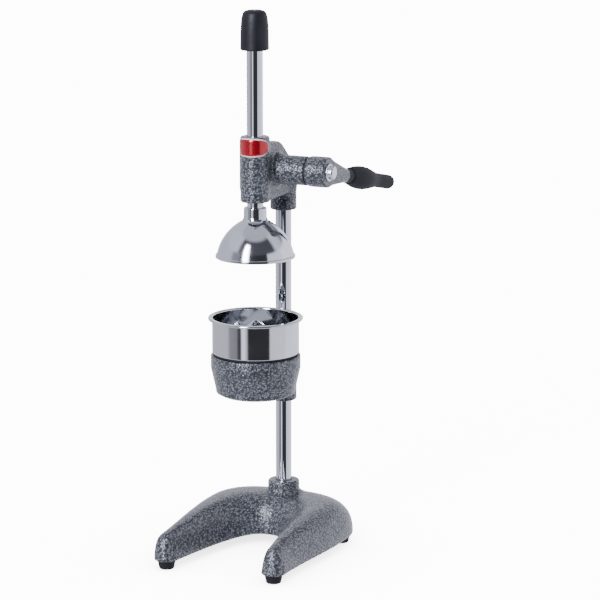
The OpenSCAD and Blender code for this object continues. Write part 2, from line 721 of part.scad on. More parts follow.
// Half angle of a tooth at radius r, from the involute of the base circle
function involute(r) = let (a = acos(min(base_circle_r / r, 1))) tan(a) * 180 / PI - a;
function tooth_angle(r) = 90 / gear_n - backlash / 4 / gear_r * 180 / PI
    + involute(gear_r) - involute(max(r, base_circle_r));
flank_r = [for (k = [0:flank_n]) gear_root_r + (gear_tip_r - gear_root_r) * k / flank_n];
function polar(r, a) = [r * cos(a), r * sin(a)];
module gear_outline() polygon([
    for (k = [0:gear_n - 1]) let (c = 180 + (k + 0.5) * 360 / gear_n)
        each concat(
            [for (j = [0:flank_n]) polar(flank_r[j], c - tooth_angle(flank_r[j]))],
            [for (j = [0:flank_n])
                polar(flank_r[flank_n - j], c + tooth_angle(flank_r[flank_n - j]))])]);
key_w = 5;
key_h = 5;
key_x = [-7, 7];
module key_slot(x0, x1) translate([x0, -key_w / 2, shaft_d / 2 - key_h / 2])
    cube([x1 - x0, key_w, key_h]);
module drive_gear() color(steel) place() translate([0, axis_y, axis_z]) difference() {
    translate([-gear_w / 2, 0, 0]) along_x() linear_extrude(gear_w) gear_outline();
    translate([-gear_w, 0, 0]) along_x() cylinder(d = shaft_d, h = 2 * gear_w);
    key_slot(-gear_w, gear_w);
}
hub_key_x = [hub_x + 5, hub_end_x - 5];
cap_stud_r = 4;
cap_stud_len = 12;
module gear_shaft() color(steel) place() translate([0, axis_y, axis_z]) difference() {
    translate([shaft_left, 0, 0]) along_x()
        cylinder(d = shaft_d, h = hub_end_x - 1 - shaft_left);
    key_slot(key_x[0], key_x[1]);
    key_slot(hub_key_x[0], hub_key_x[1]);
    translate([hub_end_x - 1 - cap_stud_len, 0, 0]) along_x()
        cylinder(r = cap_stud_r, h = cap_stud_len + 1);
}
module gear_key() color(steel) place() translate([0, axis_y, axis_z])
    key_slot(key_x[0], key_x[1]);
module hub_key() color(steel) place() translate([0, axis_y, axis_z])
    key_slot(hub_key_x[0], hub_key_x[1]);

// ---------- lever ----------
// Puts a shape drawn along Z from the shaft onto the lever's axis
module on_lever() translate([arm_x, axis_y, axis_z])
    rotate([-90 - lever_tilt, 0, 0]) children();

module lever_hub() color(paint) place() difference() {
    union() {
        translate([hub_x, axis_y, axis_z]) along_x() {
            cylinder(d = hub_d, h = hub_w - 1);
            translate([0, 0, hub_w - 1]) cylinder(d1 = hub_d, d2 = hub_d - 2, h = 1);
        }
        hull() {
            translate([arm_x - 8, axis_y, axis_z]) along_x()
                cylinder(d = hub_d - 0.6, h = 16, $fn = 48);
            on_lever() translate([0, 0, arm_len - 4]) cylinder(d = arm_d, h = 4, $fn = 48);
        }
    }
    translate([0, axis_y, axis_z]) {
        along_x() cylinder(d = shaft_d, h = hub_end_x + 1);
        key_slot(hub_key_x[0], hub_end_x + 1);
    }
    on_lever() translate([0, 0, arm_len - core_in]) cylinder(d = core_d, h = core_in + 1);
}
core_in = 28;
cap_flange = 1.5;
module hub_cap() color(chrome) place() translate([0, axis_y, axis_z]) {
    translate([hub_end_x, 0, 0]) along_x() rotate_extrude() polygon(concat(
        [[0, 0], [hub_cap_d / 2, 0], [hub_cap_d / 2, cap_flange]],
        [for (k = [1:7]) let (a = 90 * k / 8)
            [hub_cap_d / 2 * cos(a), cap_flange + (hub_cap_h - cap_flange) * sin(a)]],
        [[0, hub_cap_h]]));
    translate([hub_end_x - 1 - cap_stud_len, 0, 0]) along_x()
        cylinder(r = cap_stud_r, h = cap_stud_len + 1);
}
module lever_core() color(steel) place() on_lever()
    translate([0, 0, arm_len - core_in]) cylinder(d = core_d, h = core_in + core_out);
core_out = collar_len + grip_len - 20;
module grip_collar() color(black) place() on_lever() translate([0, 0, arm_len])
    difference() {
        rotate_extrude() polygon([[0, 0], [arm_d / 2 - 0.8, 0], [arm_d / 2, 1.2],
            [arm_d / 2, collar_len], [0, collar_len]]);
        translate([0, 0, -1]) cylinder(d = core_d, h = collar_len + 2);
    }

// Grip radius along its length: swells to the belly, then draws in to a long waist
belly_at = 0.29;
waist_at = 0.677;
function grip_r(t) = t < belly_at
    ? let (s = t / belly_at) arm_d / 2 + 0.7
        + (grip_d / 2 - arm_d / 2 - 0.7) * sin(90 * s)
    : let (s = min((t - belly_at) / (waist_at - belly_at), 1)) grip_end_d / 2
        + (grip_d - grip_end_d) / 4 * (1 + cos(180 * s));
grip_n = 18;
module lever_grip() color(slate) place() on_lever() translate([0, 0, collar_end])
    difference() {
        rotate_extrude() polygon(concat(
            [[0, 0], [arm_d / 2, 0]],
            [for (k = [0:grip_n]) let (t = k / grip_n)
                if (t * grip_len > 1 && t * grip_len < grip_len - grip_end_d / 2 - 1)
                [grip_r(t), t * grip_len]],
            arc(0, grip_len - grip_end_d / 2, grip_end_d / 2, 0, 90, 10)));
        translate([0, 0, -1]) cylinder(d = core_d, h = core_out - collar_len + 1);
    }

base_casting();
foot_front_left();
foot_front_right();
foot_rear_left();
foot_rear_right();
foot_screws();
column();
column_bolt();
column_washer();
head_casting();
head_set_screws();
gear_cover();
gear_cover_screws();
sleeve_bushes();
cover_bush();
thrust_washer();
badge_plate();
bowl_casting();
bowl_set_screws();
seat_gasket();
strainer_cup();
reamer_cone();
rack_rod();
rod_knob();
press_bell();
bell_washer();
bell_screw();
drive_gear();
gear_shaft();
gear_key();
lever_hub();
hub_key();
hub_cap();
lever_core();
grip_collar();
lever_grip();
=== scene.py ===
"""Lever citrus juice press: its surfaces, finishes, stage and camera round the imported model.

Sizes are in millimetres in the press frame, where the rod's axis is x = y = 0 and the table
is z = 0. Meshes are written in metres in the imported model's frame.
"""

import math

import bmesh
import bpy
import numpy as np
from bpy.props import FloatProperty, FloatVectorProperty, PointerProperty
from bpy.types import Operator, Panel, PropertyGroup
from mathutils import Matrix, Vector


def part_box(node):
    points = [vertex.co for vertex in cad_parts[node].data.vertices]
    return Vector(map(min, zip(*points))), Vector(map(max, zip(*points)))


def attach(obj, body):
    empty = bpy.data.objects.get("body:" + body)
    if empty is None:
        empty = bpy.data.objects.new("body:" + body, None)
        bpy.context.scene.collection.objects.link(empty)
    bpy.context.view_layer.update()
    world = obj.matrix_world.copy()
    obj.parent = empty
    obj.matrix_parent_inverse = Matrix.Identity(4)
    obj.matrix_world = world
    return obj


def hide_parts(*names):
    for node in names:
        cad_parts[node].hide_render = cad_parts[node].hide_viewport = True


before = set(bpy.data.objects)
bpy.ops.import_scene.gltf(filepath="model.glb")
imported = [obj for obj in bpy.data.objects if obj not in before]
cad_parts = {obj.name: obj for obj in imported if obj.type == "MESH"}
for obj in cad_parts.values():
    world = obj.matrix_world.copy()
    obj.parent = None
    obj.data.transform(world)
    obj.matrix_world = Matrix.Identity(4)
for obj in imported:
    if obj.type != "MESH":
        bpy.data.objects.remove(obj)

bl_info = {
    "name": "Lever citrus press",
    "version": (1, 0, 0),
    "blender": (4, 5, 0),
    "location": "View3D > Sidebar > Press",
    "description": "Builds the surfaces and finishes of a lever citrus juice press",
    "category": "Add Mesh",
}

# ---------------------------------------------------------------- frame sizes
MM = 1000.0
PRESS_Y = sum(corner.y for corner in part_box("rack_rod")) / 2


def span(node):
    """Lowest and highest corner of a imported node, in millimetres of the press frame."""
    return [np.array(corner) * MM - [0, PRESS_Y * MM, 0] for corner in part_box(node)]


(_, _, RIM_Z), (BASE_HALF_W, BASE_BACK, BOSS_Z) = span("base_casting")
(_, _, CLAMP_Z), (BOWL_R, _, BOWL_TOP_Z) = span("bowl_casting")
(HUB_X, _, _), (HUB_END_X, _, _) = span("lever_hub")
(_, _, FLOOR_Z), (_, _, CUP_TOP_Z) = span("strainer_cup")
ROD_R = span("rack_rod")[1][0]
COLUMN_R = span("column")[1][0]
REACH = sum(b[1] for b in span("column")) / 2
_, AXIS_Y, AXIS_Z = sum(span("gear_shaft")) / 2
SHAFT_R = (span("gear_shaft")[1][2] - span("gear_shaft")[0][2]) / 2
SLEEVE_X = span("thrust_washer")[0][0]
SOCKET_Z = span("head_casting")[0][2]
BELL_Z = span("press_bell")[0][2]
GUIDE_Z = AXIS_Z - 36
GUIDE_TOP_Z = GUIDE_Z + 80.5
GUIDE_R = SLEEVE_R = HUB_R = 18.0
SOCKET_R, BOSS_R, SCREW_R = 16.5, 20.0, 3.0
LEVER_TILT = math.radians(12)
ARM_X, ARM_LEN = HUB_END_X - 10.5, 73.0


# ---------------------------------------------------------------- mesh helpers
def add_mesh(name, shape, body, replaced, finish, merge=1e-3, crease=50.0):
    """Makes a piece from shape, its points (n, 3) in millimetres and faces (m, 4), smooth
    shaded, with doubles closer than merge joined and edges sharper than crease degrees kept
    sharp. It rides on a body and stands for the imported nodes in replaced."""
    points, faces = shape
    data = bpy.data.meshes.new(name)
    co = np.asarray(points, float) / MM + np.array([0.0, PRESS_Y, 0.0])
    data.vertices.add(len(co))
    data.vertices.foreach_set("co", co.ravel())
    data.loops.add(faces.size)
    data.loops.foreach_set("vertex_index", faces.ravel())
    data.polygons.add(len(faces))
    data.polygons.foreach_set("loop_start", np.arange(len(faces)) * faces.shape[1])
    data.polygons.foreach_set("use_smooth", np.ones(len(faces), bool))
    data.update(calc_edges=True)
    data.validate()
    if merge:
        work = bmesh.new()
        work.from_mesh(data)
        bmesh.ops.remove_doubles(work, verts=work.verts, dist=merge / MM)
        bmesh.ops.dissolve_degenerate(work, edges=work.edges, dist=1e-8)
        bmesh.ops.recalc_face_normals(work, faces=work.faces)
        work.to_mesh(data)
        work.free()
    if crease:
        data.set_sharp_from_angle(angle=math.radians(crease))
    data.materials.append(FINISHES[finish])
    piece = bpy.data.objects.new(name, data)
    bpy.context.scene.collection.objects.link(piece)
    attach(piece, body)
    if replaced:
        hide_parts(*replaced)
    return piece


def grid_faces(rows, columns, closed=False):
    """Four-sided faces of a rows x columns grid of points, its columns wrapped round, and its
    rows too where closed."""
    i = np.arange(rows if closed else rows - 1)[:, None] * columns
    j = np.arange(columns)[None, :]
    i1, j1 = (i + columns) % (rows * columns), (j + 1) % columns
    return np.stack([i + j, i + j1, i1 + j1, i1 + j], -1).reshape(-1, 4)


def rounded(corners, radii, steps=5):
    """A profile with its corners rounded: each corner becomes a quadratic curve from a point
    r before it to a point r after it, with a support point just outside each end."""
    p = np.asarray(corners, float)
    r = np.broadcast_to(np.asarray(radii, float), len(p))
    before, after = np.roll(p, 1, 0), np.roll(p, -1, 0)

    def toward(target, reach):
        way = target - p
        size = np.linalg.norm(way, axis=1, keepdims=True) + 1e-9
        return p + way / size * np.minimum(reach[:, None], size * 0.46)

    start, end = toward(before, r), toward(after, r)
    t = np.linspace(0, 1, steps)[None, :, None]
    curve = (1 - t) ** 2 * start[:, None] + 2 * t * (1 - t) * p[:, None] + t**2 * end[:, None]
    wide = np.maximum(r * 1.25, r + 0.12)
    s0, s1 = toward(before, wide)[:, None], toward(after, wide)[:, None]
    out = np.concatenate([s0, curve, s1], 1)
    rows = [out[k] if r[k] > 0 else p[k : k + 1] for k in range(len(p))]
    return np.concatenate(rows)


def polar(r, a, *height):
    """Points (r cos a, r sin a), with their height where given, as one array."""
    return np.stack([r * np.cos(a), r * np.sin(a), *height], -1)


def turned(profile, segments, closed=True):
    """Surface of revolution about +Z: (r, z) at angle a goes to (r cos a, r sin a, z).
    Returns its points and faces; a closed profile gives a ring-shaped closed skin."""
    profile = np.asarray(profile, float)
    a = np.linspace(0, 2 * np.pi, segments, endpoint=False)[None, :]
    r, z = profile[:, :1], profile[:, 1:]
    return polar(r, a, z + 0 * a).reshape(-1, 3), grid_faces(len(profile), segments, closed)


def smooth_min(a, b, k):
    """Union of two distance fields with a fillet of about k: min - (k - |a-b|)^2 / 4k."""
    h = np.maximum(k - np.abs(a - b), 0) / k
    return np.minimum(a, b) - h * h * k / 4


def slab(flat, across, low, high, edge):
    """Distance to a flat shape (its own distance is flat) made thick from low to high, its
    rims rounded by edge."""
    d0 = flat + edge
    d1 = np.abs(across - (low + high) / 2) - (high - low) / 2 + edge
    beside = np.hypot(np.maximum(d0, 0), np.maximum(d1, 0))
    return np.minimum(np.maximum(d0, d1), 0) + beside - edge


def drum(radial, axial, r, low, high, edge=0.0):
    """Distance to a solid drum of radius r from low to high, its rims rounded by edge."""
    return slab(radial - r, axial, low, high, edge)


def cut(solid, *holes):
    """A solid less its holes: the greatest of its distance and minus each hole's."""
    for hole in holes:
        solid = np.maximum(solid, -hole)
    return solid


def hull_of_circles(u, v, circles, ways=72):
    """Distance to the convex hull of circles (cu, cv, r): the greatest over directions n of
    p.n - h(n), where h(n) is the greatest of c.n + r."""
    out = np.full(np.broadcast(u, v).shape, -1e9)
    for a in np.linspace(0, 2 * np.pi, ways, endpoint=False):
        nu, nv = math.cos(a), math.sin(a)
        reach = max(cu * nu + cv * nv + r for cu, cv, r in circles)
        out = np.maximum(out, u * nu + v * nv - reach)
    return out


def polygon_distance(u, v, corners):
    """Signed distance to a polygon: least distance to its sides, negative inside by the
    even-odd count of sides crossed."""
    c = np.asarray(corners, float)
    best = np.full(np.broadcast(u, v).shape, 1e9)
    odd = np.zeros(best.shape, bool)
    for (ax, ay), (bx, by) in zip(c, np.roll(c, -1, 0)):
        ex, ey = bx - ax, by - ay
        t = np.clip(((u - ax) * ex + (v - ay) * ey) / (ex * ex + ey * ey), 0, 1)
        best = np.minimum(best, (u - ax - t * ex) ** 2 + (v - ay - t * ey) ** 2)
        if ay != by:
            odd ^= ((ay > v) != (by > v)) & (u < (bx - ax) * (v - ay) / (by - ay) + ax)
    return np.where(odd, -1, 1) * np.sqrt(best)


def cast_skin(field, low, high, step, polish=2):
    """Closed skin where field(x, y, z) = 0. The field is sampled on a grid; each cell that
    the skin crosses gets a point at the mean of its edge crossings, and each crossed grid
    edge a four-sided face. Steps p - f grad f / |grad f|^2 then bring the points onto it."""
    axes = [np.arange(a, b + step, step) for a, b in zip(low, high)]
    x, y, z = np.meshgrid(*axes, indexing="ij", sparse=True)
    f = np.ascontiguousarray(np.broadcast_to(field(x, y, z), [len(a) for a in axes]))
    inside = f < 0
    n = np.array(f.shape) - 1
    count = sum(inside[i : n[0] + i, j : n[1] + j, k : n[2] + k].astype(np.int8)
                for i, j, k in np.ndindex(2, 2, 2))
    mixed = (count > 0) & (count < 8)
    cells = np.argwhere(mixed)
    index = np.full(mixed.shape, -1)
    index[mixed] = np.arange(len(cells))
    total, hits = np.zeros((len(cells), 3)), np.zeros(len(cells))
    for axis, a, b in np.ndindex(3, 2, 2):
        first = cells.copy()
        first[:, [k for k in range(3) if k != axis]] += (a, b)
        second = first.copy()
        second[:, axis] += 1
        f0, f1 = f[tuple(first.T)], f[tuple(second.T)]
        crossed = (f0 < 0) != (f1 < 0)
        at = first.astype(float)
        at[:, axis] += np.where(crossed, f0 / np.where(crossed, f0 - f1, 1), 0)
        total += at * crossed[:, None]
        hits += crossed
    points = total / hits[:, None] * step + np.array(low, float)
    quads = []
    for axis in range(3):
        b, c = (axis + 1) % 3, (axis + 2) % 3
        near, far = (np.take(inside, range(k, n[axis] + k), axis) for k in (0, 1))
        edge = np.argwhere(near != far)
        edge = edge[(edge[:, [b, c]] > 0).all(1) & (edge[:, [b, c]] < n[[b, c]]).all(1)]
        ring = []
        for corner in ((1, 1), (0, 1), (0, 0), (1, 0)):
            cell = edge.copy()
            cell[:, [b, c]] -= corner
            ring.append(index[tuple(cell.T)])
        quad, turn = np.stack(ring, -1), far[tuple(edge.T)]
        quad[turn] = quad[turn][:, ::-1]
        quads.append(quad)
    reach = 0.05
    for _ in range(polish):
        p, value = points.T, field(*points.T)
        grad = np.stack([(field(*(p + way)) - field(*(p - way))) / (2 * reach)
                         for way in reach * np.eye(3)[:, :, None]], -1)
        move = -value[:, None] * grad / np.maximum((grad**2).sum(-1), 0.2)[:, None]
        size = np.linalg.norm(move, axis=1, keepdims=True)
        points = points + move * np.minimum(1, 0.5 * step / np.maximum(size, 1e-9))
    return points, np.concatenate(quads)


def at_shaft(points):
    """Lays points drawn along Z along the shaft's axis: Z to +X, X to +Y and Y to +Z."""
    return np.roll(points, 1, 1) + np.array([0, AXIS_Y, AXIS_Z])


def on_lever(points):
    """Puts points drawn along Z from the shaft onto the lever: back and tilted down."""
    p = np.asarray(points, float)
    c, s = math.cos(LEVER_TILT), math.sin(LEVER_TILT)
    return np.stack([
        p[:, 0] + ARM_X, p[:, 2] * c + p[:, 1] * s + AXIS_Y, -p[:, 2] * s + p[:, 1] * c + AXIS_Z
    ], -1)


# ---------------------------------------------------------------- material helpers
FINISHES = {}
PAINT_CELL = 2.5 / MM
PAINT_DIMPLE = 0.42 / MM


def linear(colour):
    """Linear RGBA of an sRGB hex code; a property's colour is linear already."""
    if not isinstance(colour, str):
        return [*colour, 1.0]
    value = [int(colour[k : k + 2], 16) / 255 for k in (1, 3, 5)]
    return [v / 12.92 if v <= 0.04045 else ((v + 0.055) / 1.055) ** 2.4 for v in value] + [1.0]


def link(tree, node, links):
    """Joins inputs of a node to other nodes; links are (input, from node, output)."""
    for into, source, output in links:
        tree.links.new(source.outputs[output], node.inputs[into])


def add_node(tree, kind, links=(), values=(), stops=(), **settings):
    """Adds a shader node with its links. Settings are its properties or, by socket name with
    _ for spaces, its input values; values are further ones as (input, value), and stops are a
    colour ramp's (place, colour)."""
    made = tree.nodes.new("ShaderNode" + kind)
    for name, value in settings.items():
        if hasattr(made, name):
            setattr(made, name, value)
        else:
            made.inputs[name.replace("_", " ")].default_value = value
    for socket, value in values:
        made.inputs[socket].default_value = value
    if stops:
        band = made.color_ramp.elements
        band.remove(band[0])
        band[0].position, band[0].color = stops[0]
        for place, colour in stops[1:]:
            band.new(place).color = colour
    link(tree, made, links)
    return made


def new_material(name, **surface):
    """A material with one Principled surface; returns it, its tree, shader and coordinates."""
    made = bpy.data.materials.new(name)
    made.use_nodes = True
    tree = made.node_tree
    tree.nodes.clear()
    shader = add_node(tree, "BsdfPrincipled", **surface)
    add_node(tree, "OutputMaterial", [("Surface", shader, "BSDF")])
    return made, tree, shader, add_node(tree, "TexCoord")


def hammered_enamel(dark, mid, light):
    """Hammered stoving enamel on cast iron: aluminium flake gathers in rounded cells a few
    millimetres across with darker lines between, and the glossy film is dimpled with them."""
    made, tree, shader, where = new_material(
        "hammered_enamel", Metallic=0.32, Roughness=0.36, Specular_IOR_Level=0.1,
        Coat_Weight=0.6, Coat_Roughness=0.07)
    drift = add_node(tree, "TexNoise", [("Vector", where, "Object")],
                     Scale=1 / (1.6 * PAINT_CELL), Detail=2.0)
    pushed = add_node(tree, "Mix", [(4, where, "Object"), (5, drift, "Color")], [(0, 0.004)],
                      data_type="VECTOR")
    cells = add_node(tree, "TexVoronoi", [("Vector", pushed, 1)], feature="SMOOTH_F1",
                     Scale=1 / PAINT_CELL, Smoothness=0.3, Randomness=1.0)
    flake = add_node(tree, "TexNoise", [("Vector", where, "Object")],
                     Scale=1 / (0.55 * PAINT_CELL), Detail=3.0, Roughness=0.65)
    patchy = add_node(tree, "Math", [(0, flake, "Fac"), (2, cells, "Distance")], [(1, 0.75)],
                      operation="MULTIPLY_ADD")
    tone = add_node(tree, "ValToRGB", [("Fac", patchy, 0)], stops=[
        (0.46, linear(light)), (0.72, linear(mid)), (0.98, linear(dark))])
    bump, film = (add_node(tree, "Bump", [("Height", source, output)], invert=True,
                           Strength=1.0, Distance=PAINT_DIMPLE)
                  for source, output in ((patchy, "Value"), (cells, "Distance")))
    link(tree, shader, [("Base Color", tone, "Color"), ("Normal", bump, "Normal"),
                        ("Coat Normal", film, "Normal")])
    return made


def uneven(material, cloud, stops, polish, roughness, spread, relief, strength, height):
    """Joins a material's patterns: its tone runs through stops with cloud, its roughness rises
    by spread with polish, and relief shapes its surface, height in millimetres."""
    made, tree, shader, _ = material
    tone = add_node(tree, "ValToRGB", [("Fac", cloud, "Fac")], stops=stops)
    rough = add_node(tree, "MapRange", [("Value", polish, "Fac")], From_Min=0.3, From_Max=0.7,
                     To_Min=roughness, To_Max=roughness + spread)
    bump = add_node(tree, "Bump", [("Height", relief, "Fac")], Strength=strength,
                    Distance=height / MM)
    link(tree, shader, [("Base Color", tone, "Color"), ("Roughness", rough, "Result"),
                        ("Normal", bump, "Normal")])
    return made


def metal(name, colour, roughness, spread, grain, height, stretch=(1, 1, 1)):
    """A bare or plated metal: a little uneven in polish, with fine marks of grain millimetres,
    drawn out by stretch along the way it was turned, buffed or drawn."""
    material = new_material(name, Metallic=1.0)
    tree, where = material[1], material[3]
    placed = add_node(tree, "Mapping", [("Vector", where, "Object")], Scale=stretch)
    marks = add_node(tree, "TexNoise", [("Vector", placed, "Vector")], Scale=MM / grain,
                     Detail=3.0, Roughness=0.6)
    haze = add_node(tree, "TexNoise", [("Vector", where, "Object")], Scale=MM / 22, Detail=2.0)
    tone = linear(colour)
    stops = [(0.3, [*(v * 0.93 for v in tone[:3]), 1]), (0.7, tone)]
    return uneven(material, haze, stops, haze, roughness, spread, marks, 0.5, height)


def moulded(name, dark, light, roughness, grain, height, **surface):
    """Moulded plastic, rubber or lacquer: a fine grain and a slightly uneven tone."""
    material = new_material(name, **surface)
    skin, cloud = (add_node(material[1], "TexNoise", [("Vector", material[3], "Object")],
                            Scale=MM / size, Detail=detail, Roughness=fine)
                   for size, detail, fine in ((grain, 4.0, 0.6), (16, 2.0, 0.5)))
    stops = [(0.32, linear(dark)), (0.68, linear(light))]
    return uneven(material, cloud, stops, skin, roughness, 0.12, skin, 0.4, height)


def make_finishes(sizes):
    """All finishes, named for what the real surfaces are."""
    FINISHES.update(
        paint=hammered_enamel(sizes.enamel_dark, sizes.enamel_mid, sizes.enamel_light),
        chrome=metal("chrome_plate", "#dfe2e8", 0.035, 0.03, 1.2, 0.002),
        stainless=metal("polished_stainless", "#d3d5d8", 0.06, 0.05, 0.6, 0.003, (1, 1, 9)),
        alloy=metal("polished_cast_aluminium", "#d7dae0", 0.08, 0.05, 0.5, 0.005, (1, 1, 8)),
        cap=metal("buffed_chrome_cap", "#dfe2e8", 0.17, 0.05, 1.2, 0.003),
        steel=metal("turned_steel", "#9a9ca1", 0.3, 0.1, 0.5, 0.01),
        bronze=metal("bearing_bronze", "#b08850", 0.3, 0.1, 0.5, 0.01),
        black=moulded("black_plastic", "#121217", "#19191f", 0.4, 0.5, 0.03, IOR=1.5,
                      Specular_IOR_Level=0.3),
        grip=moulded("slate_grip_plastic", "#101116", "#16181e", 0.55, 0.5, 0.03, IOR=1.5,
                     Specular_IOR_Level=0.18),
        rubber=moulded("black_rubber", "#08080a", "#101013", 0.6, 0.6, 0.05, IOR=1.52,
                       Specular_IOR_Level=0.3),
        badge_red=moulded("red_lacquered_foil", sizes.badge_dark, sizes.badge_light, 0.2, 0.8,
                          0.01, IOR=1.5, Metallic=0.65, Coat_Weight=0.8, Coat_Roughness=0.04),
        badge_rim=moulded("pale_enamel", "#d8cfc8", "#e6dfda", 0.25, 0.8, 0.01, IOR=1.5))


# ---------------------------------------------------------------- castings
# The horseshoe, as in the part's source: half outline for x >= 0 against u from 0 to 1
TOE_X, TOE_R, TOE_FRONT = 72.0, 15.2, 107.0
ARCH_Y, WIDE_Y, REAR_SHARE = 37.0, 50.0, 0.42
BASE_RISE, TOE_RISE, BASE_WALL = 46.5, 34.0, 5.0
INNER_FULL, OUTER_FULL, INNER_LEAN, LEAN_AT = 3.2, 2.4, 0.35, 0.55
# Posts under the toes and the rear corners for the feet's screws: x, y, radius, height
POSTS = ((TOE_X, -TOE_FRONT, 6, 26), (BASE_HALF_W - 17, BASE_BACK - 47, 11, 18))
HOUSE_LEFT, HOUSE_RIGHT, HOUSE_Y, HOUSE_UP = -18.0, 14.0, 14.0, 18.5
HOUSE_FOOT_Z = AXIS_Z - 20.5
COVER_SCREWS = ((10, AXIS_Z + 27), (10, AXIS_Z - 27), (REACH - 8, AXIS_Z - 18.5))
PAST = 9.0  # how far a hole's drum runs on past the face that it opens


def horseshoe(u):
    """Inner and outer edge points of the half horseshoe for u in 0..1."""
    f = u**0.6
    inner = np.stack([(TOE_X - TOE_R) * f, ARCH_Y - (ARCH_Y + TOE_FRONT) * f**2.5], -1)
    a = np.pi / 2 * (1 - np.minimum(u / REAR_SHARE, 1))
    rear = np.stack([BASE_HALF_W * np.cos(a) ** (2 / 3),
                     WIDE_Y + (BASE_BACK - WIDE_Y) * np.sin(a) ** (2 / 3)], -1)
    s = np.clip((u - REAR_SHARE) / (1 - REAR_SHARE), 0, 1)
    side = np.stack([BASE_HALF_W - (BASE_HALF_W - TOE_X - TOE_R) * s * s * (3 - 2 * s),
                     WIDE_Y - (WIDE_Y + TOE_FRONT) * s], -1)
    return inner, np.where((u <= REAR_SHARE)[:, None], rear, side)


def base_plan(x, y, samples=241):
    """For each plan point: u of the rib it lies on, its signed share r across the rib (-1 at
    the inner edge, 1 at the outer), the rib's half length and the section's fullness."""
    x = np.abs(x)
    u = np.linspace(0, 1, samples)
    inner, outer = horseshoe(u)
    way = outer - inner
    px, py = x.ravel()[:, None], y.ravel()[:, None]
    side = way[:, 0] * (py - inner[:, 1]) - way[:, 1] * (px - inner[:, 0])
    along = ((px - inner[:, 0]) * way[:, 0] + (py - inner[:, 1]) * way[:, 1]) / (way**2).sum(1)
    swap = (side[:, :-1] > 0) != (side[:, 1:] > 0)
    k = np.where(swap, np.abs(2 * along - 1)[:, :-1], 1e6).argmin(1)
    rows = np.arange(len(k))
    found, s0, s1 = swap[rows, k], side[rows, k], side[rows, k + 1]
    t = np.clip(np.where(found, s0 / np.where(s0 == s1, 1, s0 - s1), 0), 0, 1)
    across = (along[rows, k] * (1 - t) + along[rows, k + 1] * t) * 2 - 1
    uu = np.where(found, (k + t) / (samples - 1), 0)
    half = np.interp(uu, u, np.linalg.norm(way, axis=1) / 2)
    r = np.where(found, across, 3.0)
    full = np.where(r < 0, INNER_FULL, OUTER_FULL)
    # round toes: r is the share of their radius, and the fullness turns with the bearing
    dx, dy = px[:, 0] - TOE_X, py[:, 0] + TOE_FRONT
    toe, turn = dy < 0, np.arctan2(-dy, -dx) / np.pi
    r = np.where(toe, np.hypot(dx, dy) / TOE_R, r)
    uu, half = np.where(toe, 1.0, uu), np.where(toe, TOE_R, half)
    full = np.where(toe, INNER_FULL + (OUTER_FULL - INNER_FULL) * turn, full)
    shape = np.broadcast(x, y).shape
    return [v.reshape(shape) for v in (uu, r, half, full)]


def base_field(x, y, z):
    """Distance to the base: the shell between two skins (|r| / (1 - lean q))^n + q^n = 1 over
    the horseshoe, q the height as a share of the crown, joined to the column boss."""
    plan_x, plan_y = np.broadcast_arrays(x, y)
    uu, r, half, full = (v[..., None] for v in base_plan(plan_x[..., 0], plan_y[..., 0]))
    ease = np.minimum(uu / LEAN_AT, 1)
    lean = INNER_LEAN * ease * ease * (3 - 2 * ease)
    lean = lean * (full - OUTER_FULL) / (INNER_FULL - OUTER_FULL)
    crown = TOE_RISE + (BASE_RISE - TOE_RISE) * (1 - uu**2.5)
    steps = [np.diff(np.ravel(line)[:2])[0] for line in (x, y, z)]

    def skin(wall):
        q = np.clip((z - RIM_Z) / (crown - wall), 0, 1.6)
        across = np.abs(r) * half / (half - wall) / (1 - lean * np.minimum(q, 1))
        value = np.minimum(across**full + q**full - 1, 6)
        slope = np.sqrt(sum(g**2 for g in np.gradient(value, *steps)))
        return value / np.maximum(slope, 0.02)

    outer = skin(0.0)
    column = np.hypot(x, y - REACH)
    boss = drum(column, z, BOSS_R, RIM_Z + 11, BOSS_Z, 2.0)
    solid = np.maximum(outer, -skin(BASE_WALL))
    solid = smooth_min(solid, boss, np.clip(BOSS_Z - 6 - z, 0.4, 11.0))
    for post_x, post_y, post_r, post_h in POSTS:
        centre = np.hypot(np.abs(x) - post_x, y - post_y)
        post = drum(centre, z, post_r, RIM_Z - 2, RIM_Z + post_h)
        solid = smooth_min(solid, np.maximum(post, outer + 1.2), 2.0)
        solid = cut(solid, drum(centre, z, 2.5, RIM_Z - 3, RIM_Z + 16))
    solid = np.maximum(solid, RIM_Z - z)
    return cut(solid, drum(column, z, COLUMN_R, RIM_Z + 23, BOSS_Z + 5),
               drum(column, z, 5, RIM_Z, RIM_Z + 30))


def housing(y, z, front, gear, foot):
    """Distance, seen along the shaft, to the gear housing: the hull of its two front corners,
    the gear's round and the socket's foot, with these radii."""
    return hull_of_circles(y + 0 * z, z + 0 * y, (
        (HOUSE_Y, AXIS_Z + HOUSE_UP, front), (HOUSE_Y, AXIS_Z - HOUSE_UP, front),
        (AXIS_Y, AXIS_Z, gear), (REACH, HOUSE_FOOT_Z, foot)))


def set_screw_hole(x, y, z, at):
    """Distance to a hole bored from the back to the column at height at."""
    return drum(np.hypot(x, z - at), y, SCREW_R, REACH + 8, REACH + 30)


